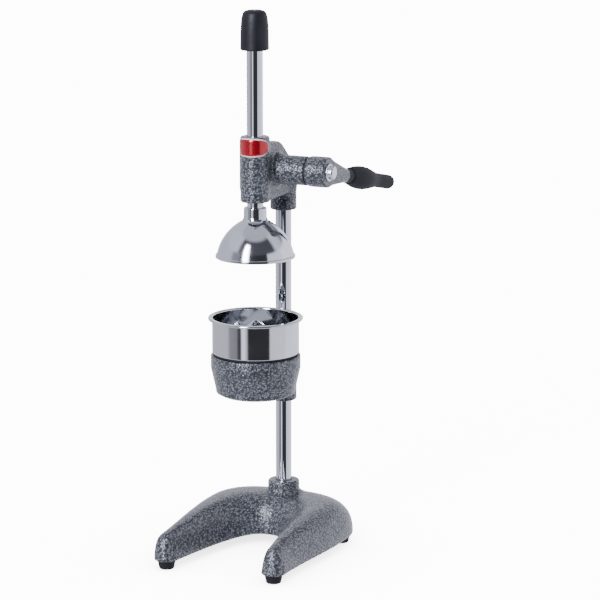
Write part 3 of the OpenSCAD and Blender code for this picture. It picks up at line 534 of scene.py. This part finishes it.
def head_field(x, y, z):
    """Distance to the head: guide tube, gear housing, column socket and shaft sleeve with
    fillets, less their bores and the gear's room."""
    rod, column = np.hypot(x, y), np.hypot(x, y - REACH)
    shaft = np.hypot(y - AXIS_Y, z - AXIS_Z)
    guide = drum(rod, z, GUIDE_R, GUIDE_Z, GUIDE_TOP_Z, 2.0)
    house = slab(housing(y, z, 17.5, 34, SOCKET_R), x, HOUSE_LEFT, HOUSE_RIGHT, 4.0)
    socket = drum(column, z, SOCKET_R, SOCKET_Z, HOUSE_FOOT_Z, 1.5)
    sleeve = drum(shaft, x, SLEEVE_R, -6, SLEEVE_X, 1.2)
    solid = smooth_min(smooth_min(smooth_min(house, guide, 5), socket, 4), sleeve, 9)
    solid = np.maximum(np.maximum(solid, HOUSE_LEFT - x), x - SLEEVE_X)
    return cut(solid,
               drum(rod, z, ROD_R + 0.05, GUIDE_Z - PAST, GUIDE_TOP_Z + PAST),
               drum(column, z, COLUMN_R, SOCKET_Z - PAST, AXIS_Z - 12),
               drum(shaft, x, 31, -30, 9), drum(shaft, x, SHAFT_R + 2, -30, SLEEVE_X + PAST),
               set_screw_hole(x, y, z, SOCKET_Z + 12), set_screw_hole(x, y, z, SOCKET_Z + 32))


def bowl_field(x, y, z):
    """Distance to the juice bowl: a turned cup joined to the clamp boss by a web, with the
    outlet and the column bore cut through."""
    radial, column = np.hypot(x, y), np.hypot(x, y - REACH)
    low_r, floor_z = BOWL_R - 7, BOWL_TOP_Z - 51
    cup = polygon_distance(radial, z, [
        (-9, floor_z + 2), (low_r - 7, floor_z + 2), (low_r - 1.2, floor_z + 5),
        (low_r - 1, floor_z + 8), (BOWL_R - 2, BOWL_TOP_Z - 16), (BOWL_R - 2, BOWL_TOP_Z - 2),
        (-9, BOWL_TOP_Z - 2)]) - 2
    spout = drum(radial, z, 8.5, floor_z - 4, floor_z + 6, 0.8)
    boss = drum(column, z, SOCKET_R, CLAMP_Z, CLAMP_Z + 58, 1.5)
    web = polygon_distance(y + 0 * z, z + 0 * y, [
        (36, floor_z + 3), (REACH, CLAMP_Z + 6), (REACH, CLAMP_Z + 52), (48, CLAMP_Z + 52)])
    web = slab(web - 1, x, -9, 9, 2.0)
    solid = smooth_min(smooth_min(smooth_min(cup, boss, 6), web, 7), spout, 3)
    well = polygon_distance(radial, z, [
        (-9, floor_z + 8), (low_r - 16, floor_z + 8), (low_r - 8, floor_z + 14),
        (BOWL_R - 8, BOWL_TOP_Z - 16), (BOWL_R - 8, BOWL_TOP_Z + 20),
        (-9, BOWL_TOP_Z + 20)]) - 3
    solid = cut(solid, well, drum(radial, z, 6, floor_z - 20, floor_z + 14),
                drum(column, z, COLUMN_R, CLAMP_Z - PAST, CLAMP_Z + 80),
                set_screw_hole(x, y, z, CLAMP_Z + 14), set_screw_hole(x, y, z, CLAMP_Z + 44))
    return np.maximum(solid, z - BOWL_TOP_Z)


def hub_field(x, y, z):
    """Distance to the lever hub: a drum on the shaft blended into a tapered round arm."""
    c, s = math.cos(LEVER_TILT), math.sin(LEVER_TILT)
    dy, dz, aside = y - AXIS_Y, z - AXIS_Z, x - ARM_X
    shaft, along, over = np.hypot(dy, dz), dy * c - dz * s, dy * s + dz * c
    taper = np.clip(1 - along / ARM_LEN, 0, 1)
    across = np.hypot(over, aside)
    thick = np.hypot(over, np.maximum(np.abs(aside) - 7.5 * taper, 0))
    arm = (np.minimum(across, thick) - 9.25 - 8.0 * taper**1.15) * 0.98
    arm = np.maximum(np.maximum(arm, along - ARM_LEN), -along)
    hub = drum(shaft, x, HUB_R, HUB_X, HUB_END_X, 1.2)
    solid = smooth_min(hub, np.maximum(arm, np.abs(aside) - 10.4), 5)
    solid = np.maximum(np.maximum(solid, HUB_X - x), x - HUB_END_X)
    return cut(solid, drum(shaft, x, SHAFT_R, HUB_X - 5, HUB_END_X + 5),
               drum(across, along, 6, ARM_LEN - 28, ARM_LEN + 5))


def cover_field(x, y, z):
    """Distance to the gear cover: a plate of the housing's outline with rounded rims, less
    its bush bore and screw holes, with the spigot that fits the gear's room."""
    shaft = np.hypot(y - AXIS_Y, z - AXIS_Z)
    plate = slab(housing(y, z, 13.5, 33, 12.5), x, -21.5, HOUSE_LEFT, 1.1)
    solid = cut(np.minimum(plate, drum(shaft, x, 30.9, -18.5, -10.6)),
                drum(shaft, x, SHAFT_R + 2, -30, 9))
    for screw_y, screw_z in COVER_SCREWS:
        screw = np.hypot(y - screw_y, z - screw_z)
        solid = cut(solid, drum(screw, x, 2, -30, -9), drum(screw, x, 3.2, -30, -19.1))
    return solid


# Strainer cup, reamer, bell and grip, as in the part's source
CUP_R, CUP_T, CUP_LIP, BEAD_R, SKIRT_R = 53.7, 1.2, 3.4, 1.5, 49.1
CUP_Z = FLOOR_Z + 6.5
HOLE_R, HOLE_RINGS, HOLE_COUNT = 1.9, (40.0, 45.0), 24
REAMER_R, REAMER_H, REAMER_RIBS = 36.0, 46.0, 10
BELL_R, BELL_H, BELL_WALL, BELL_INSET, BELL_BAND = 49.0, 50.0, 4.5, 1.5, 4.0
NECK_R, NECK_H = 14.0, 12.0
COLLAR_LEN, GRIP_LEN, GRIP_R, GRIP_END_R = 14.0, 142.0, 14.75, 9.25
BELLY_AT, WAIST_AT = 0.29, 0.677
PATCH = 2.5  # half the width of the square of floor round one hole
BADGE_THICK, BADGE_RIM = 0.8, 1.1


def joined(parts):
    """Puts several (points, faces) together as one."""
    starts = np.cumsum([0] + [len(points) for points, _ in parts[:-1]])
    return (np.concatenate([points for points, _ in parts]),
            np.concatenate([faces + start for (_, faces), start in zip(parts, starts)]))


def strainer_cup(around=192):
    """The spun cup as one closed sheet: its section turned about Z, and in the floor two rings
    of square patches, each a loop from the square's edge on top to the hole's edge, down
    through the hole and back to the square's edge below."""
    lip, low = CUP_R + CUP_LIP, CUP_TOP_Z - CUP_T
    a = np.radians(np.linspace(90, -130, 12))
    bead = np.stack([lip + BEAD_R * np.cos(a), CUP_TOP_Z - BEAD_R + BEAD_R * np.sin(a)], -1)
    top, start, edge = FLOOR_Z + CUP_T, HOLE_RINGS[0] - PATCH, HOLE_RINGS[1] + PATCH
    inner = rounded([(edge, top), (SKIRT_R - CUP_T, top), (SKIRT_R - CUP_T, CUP_Z + CUP_T),
                     (CUP_R - CUP_T, CUP_Z + CUP_T), (CUP_R - CUP_T, CUP_TOP_Z),
                     (lip - 0.5, CUP_TOP_Z)], [0, 1.0, 1.0, 1.6, 1.9, 0])
    outer = rounded([(lip - 1.1, low - 0.6), (CUP_R, low - 0.3), (CUP_R, CUP_Z), (SKIRT_R, CUP_Z),
                     (SKIRT_R, FLOOR_Z), (edge, FLOOR_Z)], [0, 1.3, 1.6, 0.5, 1.2, 0])
    middle = [(start, top), (REAMER_R - 2, top), (REAMER_R - 2, FLOOR_Z), (start, FLOOR_Z)]
    parts = [turned(np.concatenate([inner, bead, outer]), around, closed=False),
             turned(middle, around, closed=False)]
    up = np.linspace(-1, 1, around // HOLE_COUNT + 1)[:-1]
    one = np.ones(len(up))
    loop = np.concatenate([np.stack(pair, -1) for pair in (
        (-one, up), (up[::2], one[::2]), (one, -up), (-up[::2], -one[::2]))])
    bearing = np.pi / HOLE_COUNT * loop[:, 1]
    for ring, offset in zip(HOLE_RINGS, (0.5, 0.0)):
        radius, centre = ring + PATCH * loop[:, 0], np.array([ring, 0.0])
        square = polar(radius, bearing)
        way = square - centre
        hole = centre + HOLE_R * way / np.linalg.norm(way, axis=1, keepdims=True)
        u, v = np.moveaxis(np.stack([square, hole, hole, square]), -1, 0)
        turn = 2 * np.pi / HOLE_COUNT * (np.arange(HOLE_COUNT) + offset)[:, None, None]
        c, s = np.cos(turn), np.sin(turn)
        level = np.array([top, top, FLOOR_Z, FLOOR_Z])[:, None] + 0 * u + 0 * c
        patches = np.stack([u * c - v * s, u * s + v * c, level], -1)
        parts += [(patch, grid_faces(4, len(loop)))
                  for patch in patches.reshape(HOLE_COUNT, -1, 3)]
    return joined(parts)


def reamer(rings=56, around=240):
    """Ribbed cone: at height share t and bearing a its radius is
    R (1 - t^1.6)^0.8 (1 - 0.12 sin pi t) (1 + 0.085 sin(pi t^0.6) rib(a)), where rib runs
    from -1 in a hollow to 1 on the crest as 1 - 2 |sin(ribs a / 2)|^0.85."""
    t = np.sin(np.linspace(0, np.pi / 2, rings))[:, None]
    a = np.linspace(0, 2 * np.pi, around, endpoint=False)[None, :]
    body = REAMER_R * (1 - t**1.6) ** 0.8 * (1 - 0.12 * np.sin(np.pi * t))
    rib = 1 - 2 * np.abs(np.sin(a * REAMER_RIBS / 2)) ** 0.85
    r = body * (1 + 0.085 * np.sin(np.pi * t**0.6) * rib)
    z = FLOOR_Z + CUP_T + REAMER_H * t + 0 * a
    shell = polar(r, a, z)
    foot = np.concatenate([shell[:1] * [0, 0, 1], shell])
    return foot.reshape(-1, 3), grid_faces(rings + 1, around)


def dome_r(r, t):
    """Radius of the bell's dome at share t of its rise: r (1 - t^1.75)^(1/1.75)."""
    return r * np.maximum(1 - t**1.75, 0) ** (1 / 1.75)


def bell_section():
    """Closed section of the bell: rim band, dome, neck, rod socket, screw hole and inside."""
    t = np.sin(np.linspace(0, np.pi / 2, 60))
    top, neck_top = BELL_Z + BELL_H, BELL_Z + BELL_H + NECK_H
    out_r, out_z = dome_r(BELL_R - BELL_INSET, t), BELL_Z + BELL_H * t
    keep = (out_z > BELL_Z + BELL_BAND + 0.8) & (out_r > NECK_R + 1.2)
    dome = np.stack([out_r[keep], out_z[keep]], -1)
    cap, foot = top - 9, top - 4
    in_r, in_z = dome_r(BELL_R - BELL_WALL - 0.5, t), BELL_Z + (BELL_H - BELL_WALL) * t
    keep = (in_z > BELL_Z + 1.5) & (in_z < cap - 0.6)
    hollow = np.stack([in_r[keep], in_z[keep]], -1)[::-1]
    rim = rounded([(BELL_R - BELL_WALL, BELL_Z + 1.5), (BELL_R - BELL_WALL, BELL_Z),
                   (BELL_R, BELL_Z), (BELL_R, BELL_Z + BELL_BAND - 0.6),
                   (BELL_R - BELL_INSET + 0.3, BELL_Z + BELL_BAND)],
                  [0, 0.7, 1.1, 0.7, 0.4])
    neck = rounded([tuple(dome[-1]), (NECK_R + 0.3, top - 0.6), (NECK_R, neck_top),
                    (ROD_R + 0.9, neck_top), (ROD_R, neck_top - 1.2), (ROD_R, foot), (4, foot),
                    (4, cap), (15, cap)], [0, 1.6, 1.0, 0.3, 0.3, 0, 0, 0, 0])
    return np.concatenate([rim, dome[:-1], neck, hollow])


def toothed_rod(around=120):
    """The rod: (R cos a, min(R sin a, y(z)), z), where y(z) is the rack's section, crest and
    root flats joined by 20 degree flanks, and free of the rod outside the rack."""
    low, high = span("rack_rod")
    pitch, crest, root = 2 * np.pi, 9.0, 4.5
    slope = math.tan(math.radians(20))
    half_root = pitch / 2 - (pitch - 0.25) / 4 - 2.5 * slope + 0.0625
    half_crest, half_out = (half_root + (y - root) * slope for y in (crest, ROD_R))
    first, teeth = AXIS_Z - 2.5 * pitch, 22
    gaps = first + pitch * np.arange(teeth)
    z = (gaps[:, None] + [-half_crest, -half_root, half_root, half_crest]).ravel()
    limit = np.tile([crest, root, root, crest], teeth)
    z[0], z[-1] = gaps[0] - half_out, gaps[-1] + half_out
    limit[0] = limit[-1] = ROD_R
    z = np.concatenate([[low[2], low[2], low[2] + 1], z, [high[2] - 1, high[2], high[2]]])
    limit = np.concatenate([[ROD_R] * 3, limit, [ROD_R] * 3])
    scale = np.ones(len(z))
    scale[[0, 1, -2, -1]] = 0, 0.93, 0.93, 0
    points, faces = turned(np.stack([ROD_R * scale, z], -1), around, closed=False)
    points[:, 1] = np.minimum(points[:, 1], np.repeat(limit, around))
    return points, faces


def grip_section():
    """Closed section of the grip along the lever: radius rises as a sine to the belly, falls
    as a half cosine to the waist and ends in a rounded tip; its bore holds the steel core."""
    start, mouth_r, bore_r = ARM_LEN + COLLAR_LEN, 9.95, 6
    end = start + GRIP_LEN
    t = np.linspace(0, 1, 90)
    rise = mouth_r + (GRIP_R - mouth_r) * np.sin(np.pi / 2 * np.minimum(t / BELLY_AT, 1))
    fall = GRIP_END_R + (GRIP_R - GRIP_END_R) / 2 * (
        1 + np.cos(np.pi * np.clip((t - BELLY_AT) / (WAIST_AT - BELLY_AT), 0, 1)))
    r = np.where(t < BELLY_AT, rise, fall)
    keep = (t * GRIP_LEN > 1.4) & (t * GRIP_LEN < GRIP_LEN - GRIP_END_R - 0.5)
    side = np.stack([r[keep], start + t[keep] * GRIP_LEN], -1)
    a = np.linspace(0, np.pi / 2, 16)
    tip = np.stack([GRIP_END_R * np.cos(a) ** 0.8, end - GRIP_END_R * (1 - np.sin(a))], -1)
    mouth = rounded([(0, end - 20), (bore_r, end - 20), (bore_r, start), (9.25, start),
                     tuple(side[0])], [0, 0, 0, 0.6, 0])
    return np.concatenate([mouth, side[1:], tip])


def badge_plate(half_h, share, rise, across=72, rows=9):
    """A plate wrapped on the guide: the point (u, v) of a square goes to bearing 90 u degrees
    and height h v (1 - |u|^2.6)^(1/2.6), its top rise above the guide and its rim rounded
    down."""
    u = np.sin(np.linspace(-np.pi / 2, np.pi / 2, across))[:, None]
    v = np.sin(np.linspace(-np.pi / 2, np.pi / 2, rows))[None, :]
    inset = half_h * (1 - share)
    tall = (half_h - inset) * np.maximum(1 - np.abs(u) ** 2.6, 0) ** (1 / 2.6)
    bearing = -np.pi / 2 + (np.pi / 2 - inset / GUIDE_R) * u + 0 * v
    lift = rise * np.minimum((1 - v**8) * (1 - u**40) * 6, 1)
    face, back = (polar(radius, bearing, tall * v)
                  for radius in (GUIDE_R + lift, GUIDE_R - 0.1 + 0 * lift))
    return np.concatenate([face, back[:, ::-1]], 1).reshape(-1, 3), grid_faces(across, 2 * rows)


def lathe_piece(name, corners, radii, body, node, finish, segments=128, place=None, steps=5):
    """A turned piece from the corners of its closed section, its corners rounded."""
    points, faces = turned(rounded(corners, radii, steps), segments)
    return add_mesh(name, (place(points) if place else points, faces), body, [node], finish)


SKIN_ROOM = 3.0


def cast_piece(name, field, low, high, body, node, coarser=1.0, polish=2):
    """A cast piece in enamel, its skin worked out from its field between two corners."""
    low, high = np.array(low, float) - SKIN_ROOM, np.array(high, float) + SKIN_ROOM
    step = bpy.context.scene.press_sizes.cast_step * coarser
    return add_mesh(name, cast_skin(field, low, high, step, polish), body, [node], "paint",
                    merge=0, crease=0)


def shift(x=0.0, y=0.0, z=0.0):
    """A move by x, y, z millimetres."""
    return lambda points: points + np.array([x, y, z])


def colour_property(name, description, colour):
    """A colour that a user may change, its default an sRGB hex code or linear RGB."""
    return FloatVectorProperty(name=name, description=description, subtype="COLOR", size=3,
                               default=linear(colour)[:3], min=0, max=1)


class PressSizes(PropertyGroup):
    """Sizes, colours and lights that a user may change."""

    cast_step: FloatProperty(
        name="Casting detail", description="Grid step of the cast skins, in millimetres",
        default=1.1, min=0.8, max=3.0)
    enamel_dark: colour_property("Enamel, dark", "The lines between the flakes", "#36383c")
    enamel_mid: colour_property("Enamel, middle", "The edges of the flakes", "#66696e")
    enamel_light: colour_property("Enamel, light", "The middles of the flakes", "#96999f")
    badge_dark: colour_property("Badge, dark", "Darker parts of the bare badge", "#a5101f")
    badge_light: colour_property("Badge, light", "Lighter parts of the bare badge", "#bb1728")
    floor_colour: colour_property("Floor", "Colour of the floor", (0.9, 0.9, 0.9))
    floor_light: FloatProperty(
        name="Floor brightness", description="How bright the lit floor looks", default=12.0,
        min=0.0, max=40.0)
    studio_light: FloatProperty(
        name="Light", description="Strength of the studio light", default=1.0, min=0.1, max=5.0)


class PRESS_OT_base(Operator):
    """Casts the horseshoe base with its column boss"""

    bl_idname = "press.base"
    bl_label = "Base casting"

    def execute(self, context):
        cast_piece("base_skin", base_field, (-BASE_HALF_W, -TOE_FRONT - TOE_R, RIM_Z),
                   (BASE_HALF_W, BASE_BACK, BOSS_Z), "stand", "base_casting", coarser=1.32,
                   polish=0)
        return {"FINISHED"}


class PRESS_OT_feet(Operator):
    """Moulds the four rubber feet"""

    bl_idname = "press.feet"
    bl_label = "Feet"

    def execute(self, context):
        for node in ("foot_front_left", "foot_front_right", "foot_rear_left", "foot_rear_right"):
            low, high = span(node)
            middle = (low + high) / 2
            r, h = (high[0] - low[0]) / 2, high[2]
            lathe_piece(node + "_rubber",
                        [(5.6, 0), (r - 2.5, 0), (r, h), (2.5, h), (2.5, 5), (5.6, 5)],
                        [0.5, 1.4, 0.6, 0, 0.2, 0.2], "stand", node, "rubber", 64,
                        shift(middle[0], middle[1]))
        return {"FINISHED"}


class PRESS_OT_column(Operator):
    """Turns the column"""

    bl_idname = "press.column"
    bl_label = "Column"

    def execute(self, context):
        low, high = span("column")
        lathe_piece("column_bar",
                    [(5, low[2]), (COLUMN_R, low[2]), (COLUMN_R, high[2]), (0, high[2]),
                     (0, low[2] + 18), (5, low[2] + 18)],
                    [0, 0.5, 1.0, 0, 0, 0], "stand", "column", "chrome", 96, shift(y=REACH))
        return {"FINISHED"}


class PRESS_OT_head(Operator):
    """Casts the head with its guide, gear housing, socket and sleeve, and the gear cover"""

    bl_idname = "press.head"
    bl_label = "Head casting"

    def execute(self, context):
        cast_piece("head_skin", head_field, (HOUSE_LEFT, -GUIDE_R, SOCKET_Z),
                   (SLEEVE_X, REACH + 18, GUIDE_TOP_Z), "stand", "head_casting")
        cast_piece("gear_cover_skin", cover_field, *span("gear_cover"), "stand", "gear_cover")
        return {"FINISHED"}


class PRESS_OT_badge(Operator):
    """Stamps the bare oval badge that is wrapped round the guide"""

    bl_idname = "press.badge"
    bl_label = "Badge"

    def execute(self, context):
        low, high = span("badge_plate")
        half_h = (high[2] - low[2]) / 2
        place = shift(z=(low[2] + high[2]) / 2)
        for name, share, rise, finish, owned in (
            ("badge_rim", 1.0, 0.62 * BADGE_THICK, "badge_rim", ["badge_plate"]),
            ("badge_field", 1.0 - BADGE_RIM / half_h, BADGE_THICK, "badge_red", []),
        ):
            points, faces = badge_plate(half_h, share, rise)
            piece = add_mesh(name, (place(points), faces), "stand", owned, finish)
        return {"FINISHED"}


class PRESS_OT_bowl(Operator):
    """Casts the juice bowl with its clamp boss and lays the gasket on it"""

    bl_idname = "press.bowl"
    bl_label = "Juice bowl"

    def execute(self, context):
        cast_piece("bowl_skin", bowl_field, (-BOWL_R, -BOWL_R, CLAMP_Z),
                   (BOWL_R, REACH + 17, BOWL_TOP_Z), "stand", "bowl_casting")
        low, high = span("seat_gasket")
        inside = SKIRT_R + 0.4
        lathe_piece("gasket_ring",
                    [(inside, low[2]), (high[0], low[2]), (high[0], high[2]),
                     (inside, high[2])],
                    [0.3, 0.9, 0.9, 0.3], "stand", "seat_gasket", "rubber")
        return {"FINISHED"}


class PRESS_OT_strainer(Operator):
    """Spins the strainer cup and casts the ribbed reamer"""

    bl_idname = "press.strainer"
    bl_label = "Strainer cup"

    def execute(self, context):
        add_mesh("strainer_cup_sheet", strainer_cup(), "strainer", ["strainer_cup"],
                 "stainless")
        add_mesh("reamer_ribs", reamer(), "strainer", ["reamer_cone"], "alloy", crease=60)
        return {"FINISHED"}


class PRESS_OT_plunger(Operator):
    """Cuts the toothed rod, moulds its knob and turns the bell"""

    bl_idname = "press.plunger"
    bl_label = "Rod, knob and bell"

    def execute(self, context):
        add_mesh("rack_rod_bar", toothed_rod(), "plunger", ["rack_rod"], "chrome", crease=30)
        low, high = span("rod_knob")
        r, z0, z1 = high[0], low[2], high[2]
        rod_top = span("rack_rod")[1][2]
        lathe_piece("knob_cap",
                    [(ROD_R, z0), (r, z0), (r - 0.3, z0 + 24), (r - 1.3, z1 - 10),
                     (r - 3.6, z1 - 2.4), (r - 9, z1), (0, z1), (0, rod_top), (ROD_R, rod_top)],
                    [0.4, 1.6, 6, 6, 5, 4, 0, 0, 0], "plunger", "rod_knob", "black", 96,
                    steps=7)
        add_mesh("bell_turned", turned(bell_section(), 160), "plunger", ["press_bell"], "alloy")
        return {"FINISHED"}


class PRESS_OT_lever(Operator):
    """Casts the lever hub and makes its cap, collar and grip"""

    bl_idname = "press.lever"
    bl_label = "Lever"

    def execute(self, context):
        cast_piece("lever_hub_skin", hub_field, *span("lever_hub"), "lever", "lever_hub",
                   coarser=0.8)
        x0 = HUB_END_X
        lathe_piece("hub_cap_screw",
                    [(0, x0 - 13), (4, x0 - 13), (4, x0), (11, x0), (11, x0 + 1.8),
                     (9.4, x0 + 2.3), (8.7, x0 + 2.3), (8.4, x0 + 6.6), (6.6, x0 + 8.3),
                     (0, x0 + 8.9)],
                    [0, 0.3, 0.1, 0.3, 0.6, 0.3, 0.2, 1.2, 2.2, 0], "lever", "hub_cap",
                    "cap", 72, at_shaft)
        a = ARM_LEN
        lathe_piece("collar_ring",
                    [(6, a), (8.4, a), (9.25, a + 1.2), (9.0, a + 8), (9.25, a + COLLAR_LEN),
                     (6, a + COLLAR_LEN)],
                    [0, 0.5, 0.5, 3, 0.3, 0], "lever", "grip_collar", "rubber", 72, on_lever)
        points, faces = turned(grip_section(), 96)
        add_mesh("grip_moulded", (on_lever(points), faces), "lever", ["lever_grip"], "grip")
        return {"FINISHED"}


NODE_FINISH = {
    "steel": ("foot_screws", "column_bolt", "column_washer", "head_set_screws",
              "gear_cover_screws", "bowl_set_screws", "bell_washer", "bell_screw", "drive_gear",
              "gear_shaft", "gear_key", "hub_key", "lever_core"),
    "bronze": ("sleeve_bushes", "cover_bush"),
    "rubber": ("thrust_washer",),
}


class PRESS_OT_carried(Operator):
    """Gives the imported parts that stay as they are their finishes"""

    bl_idname = "press.carried"
    bl_label = "Carried parts"

    def execute(self, context):
        for finish, nodes in NODE_FINISH.items():
            for name in nodes:
                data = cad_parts[name].data
                data.materials.clear()
                data.materials.append(FINISHES[finish])
        return {"FINISHED"}


CAMERA_AT = (1.4235, PRESS_Y - 3.0921, 1.052)
CAMERA_TURN = (77.89, 0.0, 23.80)
CAMERA_LENS = 170.1
CAMERA_SIDE = math.atan2(CAMERA_AT[1] - PRESS_Y, CAMERA_AT[0])

# The room round the press, as (degrees to the right of the camera's side, brightness): its
# walls, their upper part, the ceiling, the floor and the window
ROOM_ROUND = ((-180, 1.3), (-150, 0.85), (-80, 0.85), (-72, 0.42), (-52, 0.36), (-46, 0.10),
              (-21, 0.06), (-19, 0.05), (36, 0.05), (39, 1.15), (84, 1.25), (90, 1.5),
              (150, 1.5), (180, 1.3))
UPPER_ROUND = ((-180, 0.85), (-66, 1.0), (-54, 0.13), (64, 0.1), (78, 1.0), (106, 0.9),
               (120, 0.35), (165, 0.35), (180, 0.9))
CEILING_ROUND, FLOOR_ROUND = ((0, 0.72),), ((0, 1.0),)
WINDOW_ROUND = ((-180, 0.0), (-40, 0.0), (-37, 0.75), (-34, 1.0), (-28, 0.8), (-19, 0.0),
                (180, 0.0))
# Heights at which one part of it goes over into the next, as the sine of the elevation
UPPER_AT, CEILING_AT, FLOOR_AT = (0.34, 0.46), (0.80, 0.90), (-0.52, -0.44)
SILL_AT, WINDOW_TOP_AT, HORIZON_AT = (-0.46, -0.40), (0.68, 0.78), (-0.05, 0.12)
ROOM_PEAK = 2.0
WINDOW_LIGHT, WINDOW_LOW = 34.0, 0.05
DAYLIGHT = (0.96, 0.97, 1.10, 1)
# The floor glows, and round the press its glow is dimmed as a painted shadow: within SHADE_REACH
# metres the ambient occlusion lowers it, down to SHADE_LEFT of its brightness
FLOOR_HALF, SHADE_REACH, SHADE_LEFT = 14.0, 0.14, 0.22


def studio_room(tree, light, backdrop):
    """The room's light: dark behind the camera with one tall window on its left, pale walls
    to the sides, a pale ceiling and floor, and plain white where the camera looks."""
    where = add_node(tree, "TexCoord")
    facing = add_node(tree, "Mapping", [("Vector", where, "Generated")], vector_type="VECTOR",
                      Rotation=(0, 0, -CAMERA_SIDE))
    part = add_node(tree, "SeparateXYZ", [("Vector", facing, "Vector")])
    angle = add_node(tree, "Math", [(0, part, "Y"), (1, part, "X")], operation="ARCTAN2")
    share = add_node(tree, "MapRange", [("Value", angle, "Value")], From_Min=-math.pi,
                     From_Max=math.pi)

    def around(room, peak=ROOM_PEAK):
        return add_node(tree, "ValToRGB", [("Fac", share, "Result")],
                        stops=[((a + 180) / 360, [v / peak] * 3 + [1]) for a, v in room])

    def above(heights, **ends):
        return add_node(tree, "MapRange", [("Value", part, "Z")], From_Min=heights[0],
                        From_Max=heights[1], interpolation_type="SMOOTHSTEP", **ends)

    seen, output = around(ROOM_ROUND), "Color"
    for mask, over in ((above(UPPER_AT), UPPER_ROUND), (above(CEILING_AT), CEILING_ROUND),
                       (above(FLOOR_AT, To_Min=1.0, To_Max=0.0), FLOOR_ROUND)):
        seen = add_node(tree, "Mix", [(0, mask, "Result"), (6, seen, output),
                                      (7, around(over), "Color")], data_type="RGBA")
        output = 2
    cooled = add_node(tree, "Mix", [(6, seen, output)], [(0, 1.0), (7, DAYLIGHT)],
                      data_type="RGBA", blend_type="MULTIPLY")
    window, output = around(WINDOW_ROUND, 1.0), "Color"
    for mask in (above(SILL_AT), above(WINDOW_TOP_AT, To_Min=1.0, To_Max=0.0),
                 above(HORIZON_AT, To_Min=WINDOW_LOW)):
        window = add_node(tree, "Math", [(0, window, output), (1, mask, "Result")],
                          operation="MULTIPLY")
        output = "Value"
    room = add_node(tree, "Background", [("Color", cooled, 2)], Strength=ROOM_PEAK * light)
    glow = add_node(tree, "Background", Color=DAYLIGHT, Strength=WINDOW_LIGHT * light)
    white = add_node(tree, "Background", Color=(1, 1, 1, 1), Strength=backdrop)
    lit = add_node(tree, "MixShader", [(0, window, "Value"), (1, room, "Background"),
                                       (2, glow, "Background")])
    path = add_node(tree, "LightPath")
    shown = add_node(tree, "MixShader", [(0, path, "Is Camera Ray"), (1, lit, "Shader"),
                                         (2, white, "Background")])
    add_node(tree, "OutputWorld", [("Surface", shown, "Shader")])


class PRESS_OT_stage(Operator):
    """Sets the pale glowing floor with its painted contact shadow, the soft studio light and the
    camera
    """

    bl_idname = "press.stage"
    bl_label = "Stage"

    def execute(self, context):
        scene, sizes = context.scene, context.scene.press_sizes
        floor = bpy.data.meshes.new("floor")
        w = FLOOR_HALF
        floor.from_pydata([(-w, -w, 0), (w, -w, 0), (w, w, 0), (-w, w, 0)], [], [(0, 1, 2, 3)])
        floor_object = bpy.data.objects.new("floor", floor)
        scene.collection.objects.link(floor_object)
        made, tree, shader, _ = new_material(
            "glowing_floor_painted_shadow", Roughness=0.9, Base_Color=linear(sizes.floor_colour),
            Emission_Color=(1, 1, 1, 1))
        # Painted shadow: the floor's glow is dimmed by ambient occlusion where the press stands
        # close
        painted_shadow_ao = add_node(tree, "AmbientOcclusion", Distance=SHADE_REACH)
        glow = add_node(tree, "MapRange", [("Value", painted_shadow_ao, "AO")],
                        To_Min=sizes.floor_light * SHADE_LEFT, To_Max=sizes.floor_light)
        link(tree, shader, [("Emission Strength", glow, "Result")])
        floor.materials.append(made)
        floor_object.visible_diffuse = floor_object.visible_glossy = False
        floor_object.visible_shadow = False

        scene.world = bpy.data.worlds.new("studio")
        scene.world.use_nodes = True
        scene.world.node_tree.nodes.clear()
        studio_room(scene.world.node_tree, sizes.studio_light, sizes.floor_light + 1.0)

        camera = bpy.data.cameras.new("camera")
        camera.sensor_width, camera.lens, camera.clip_end = 36.0, CAMERA_LENS, 60.0
        holder = bpy.data.objects.new("camera", camera)
        holder.location = CAMERA_AT
        holder.rotation_euler = [math.radians(turn) for turn in CAMERA_TURN]
        scene.collection.objects.link(holder)
        scene.camera = holder
        return {"FINISHED"}


PIECES = (PRESS_OT_base, PRESS_OT_feet, PRESS_OT_column, PRESS_OT_head, PRESS_OT_badge,
          PRESS_OT_bowl, PRESS_OT_strainer, PRESS_OT_plunger, PRESS_OT_lever, PRESS_OT_carried,
          PRESS_OT_stage)


class PRESS_PT_panel(Panel):
    """Lists the steps that build the press"""

    bl_idname = "PRESS_PT_panel"
    bl_label = "Citrus press"
    bl_space_type = "VIEW_3D"
    bl_region_type = "UI"
    bl_category = "Press"

    def draw(self, context):
        for name in PressSizes.__annotations__:
            self.layout.prop(context.scene.press_sizes, name)
        for piece in PIECES:
            self.layout.operator(piece.bl_idname)


CLASSES = (PressSizes, *PIECES, PRESS_PT_panel)


def register():
    for item in CLASSES:
        bpy.utils.register_class(item)
    bpy.types.Scene.press_sizes = PointerProperty(type=PressSizes)


def unregister():
    del bpy.types.Scene.press_sizes
    for item in reversed(CLASSES):
        bpy.utils.unregister_class(item)


def main():
    """Builds the press step by step."""
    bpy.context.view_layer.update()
    register()
    make_finishes(bpy.context.scene.press_sizes)
    for piece in PIECES:
        group, name = piece.bl_idname.split(".")
        getattr(getattr(bpy.ops, group), name)()


if __name__ == "__main__":
    main()
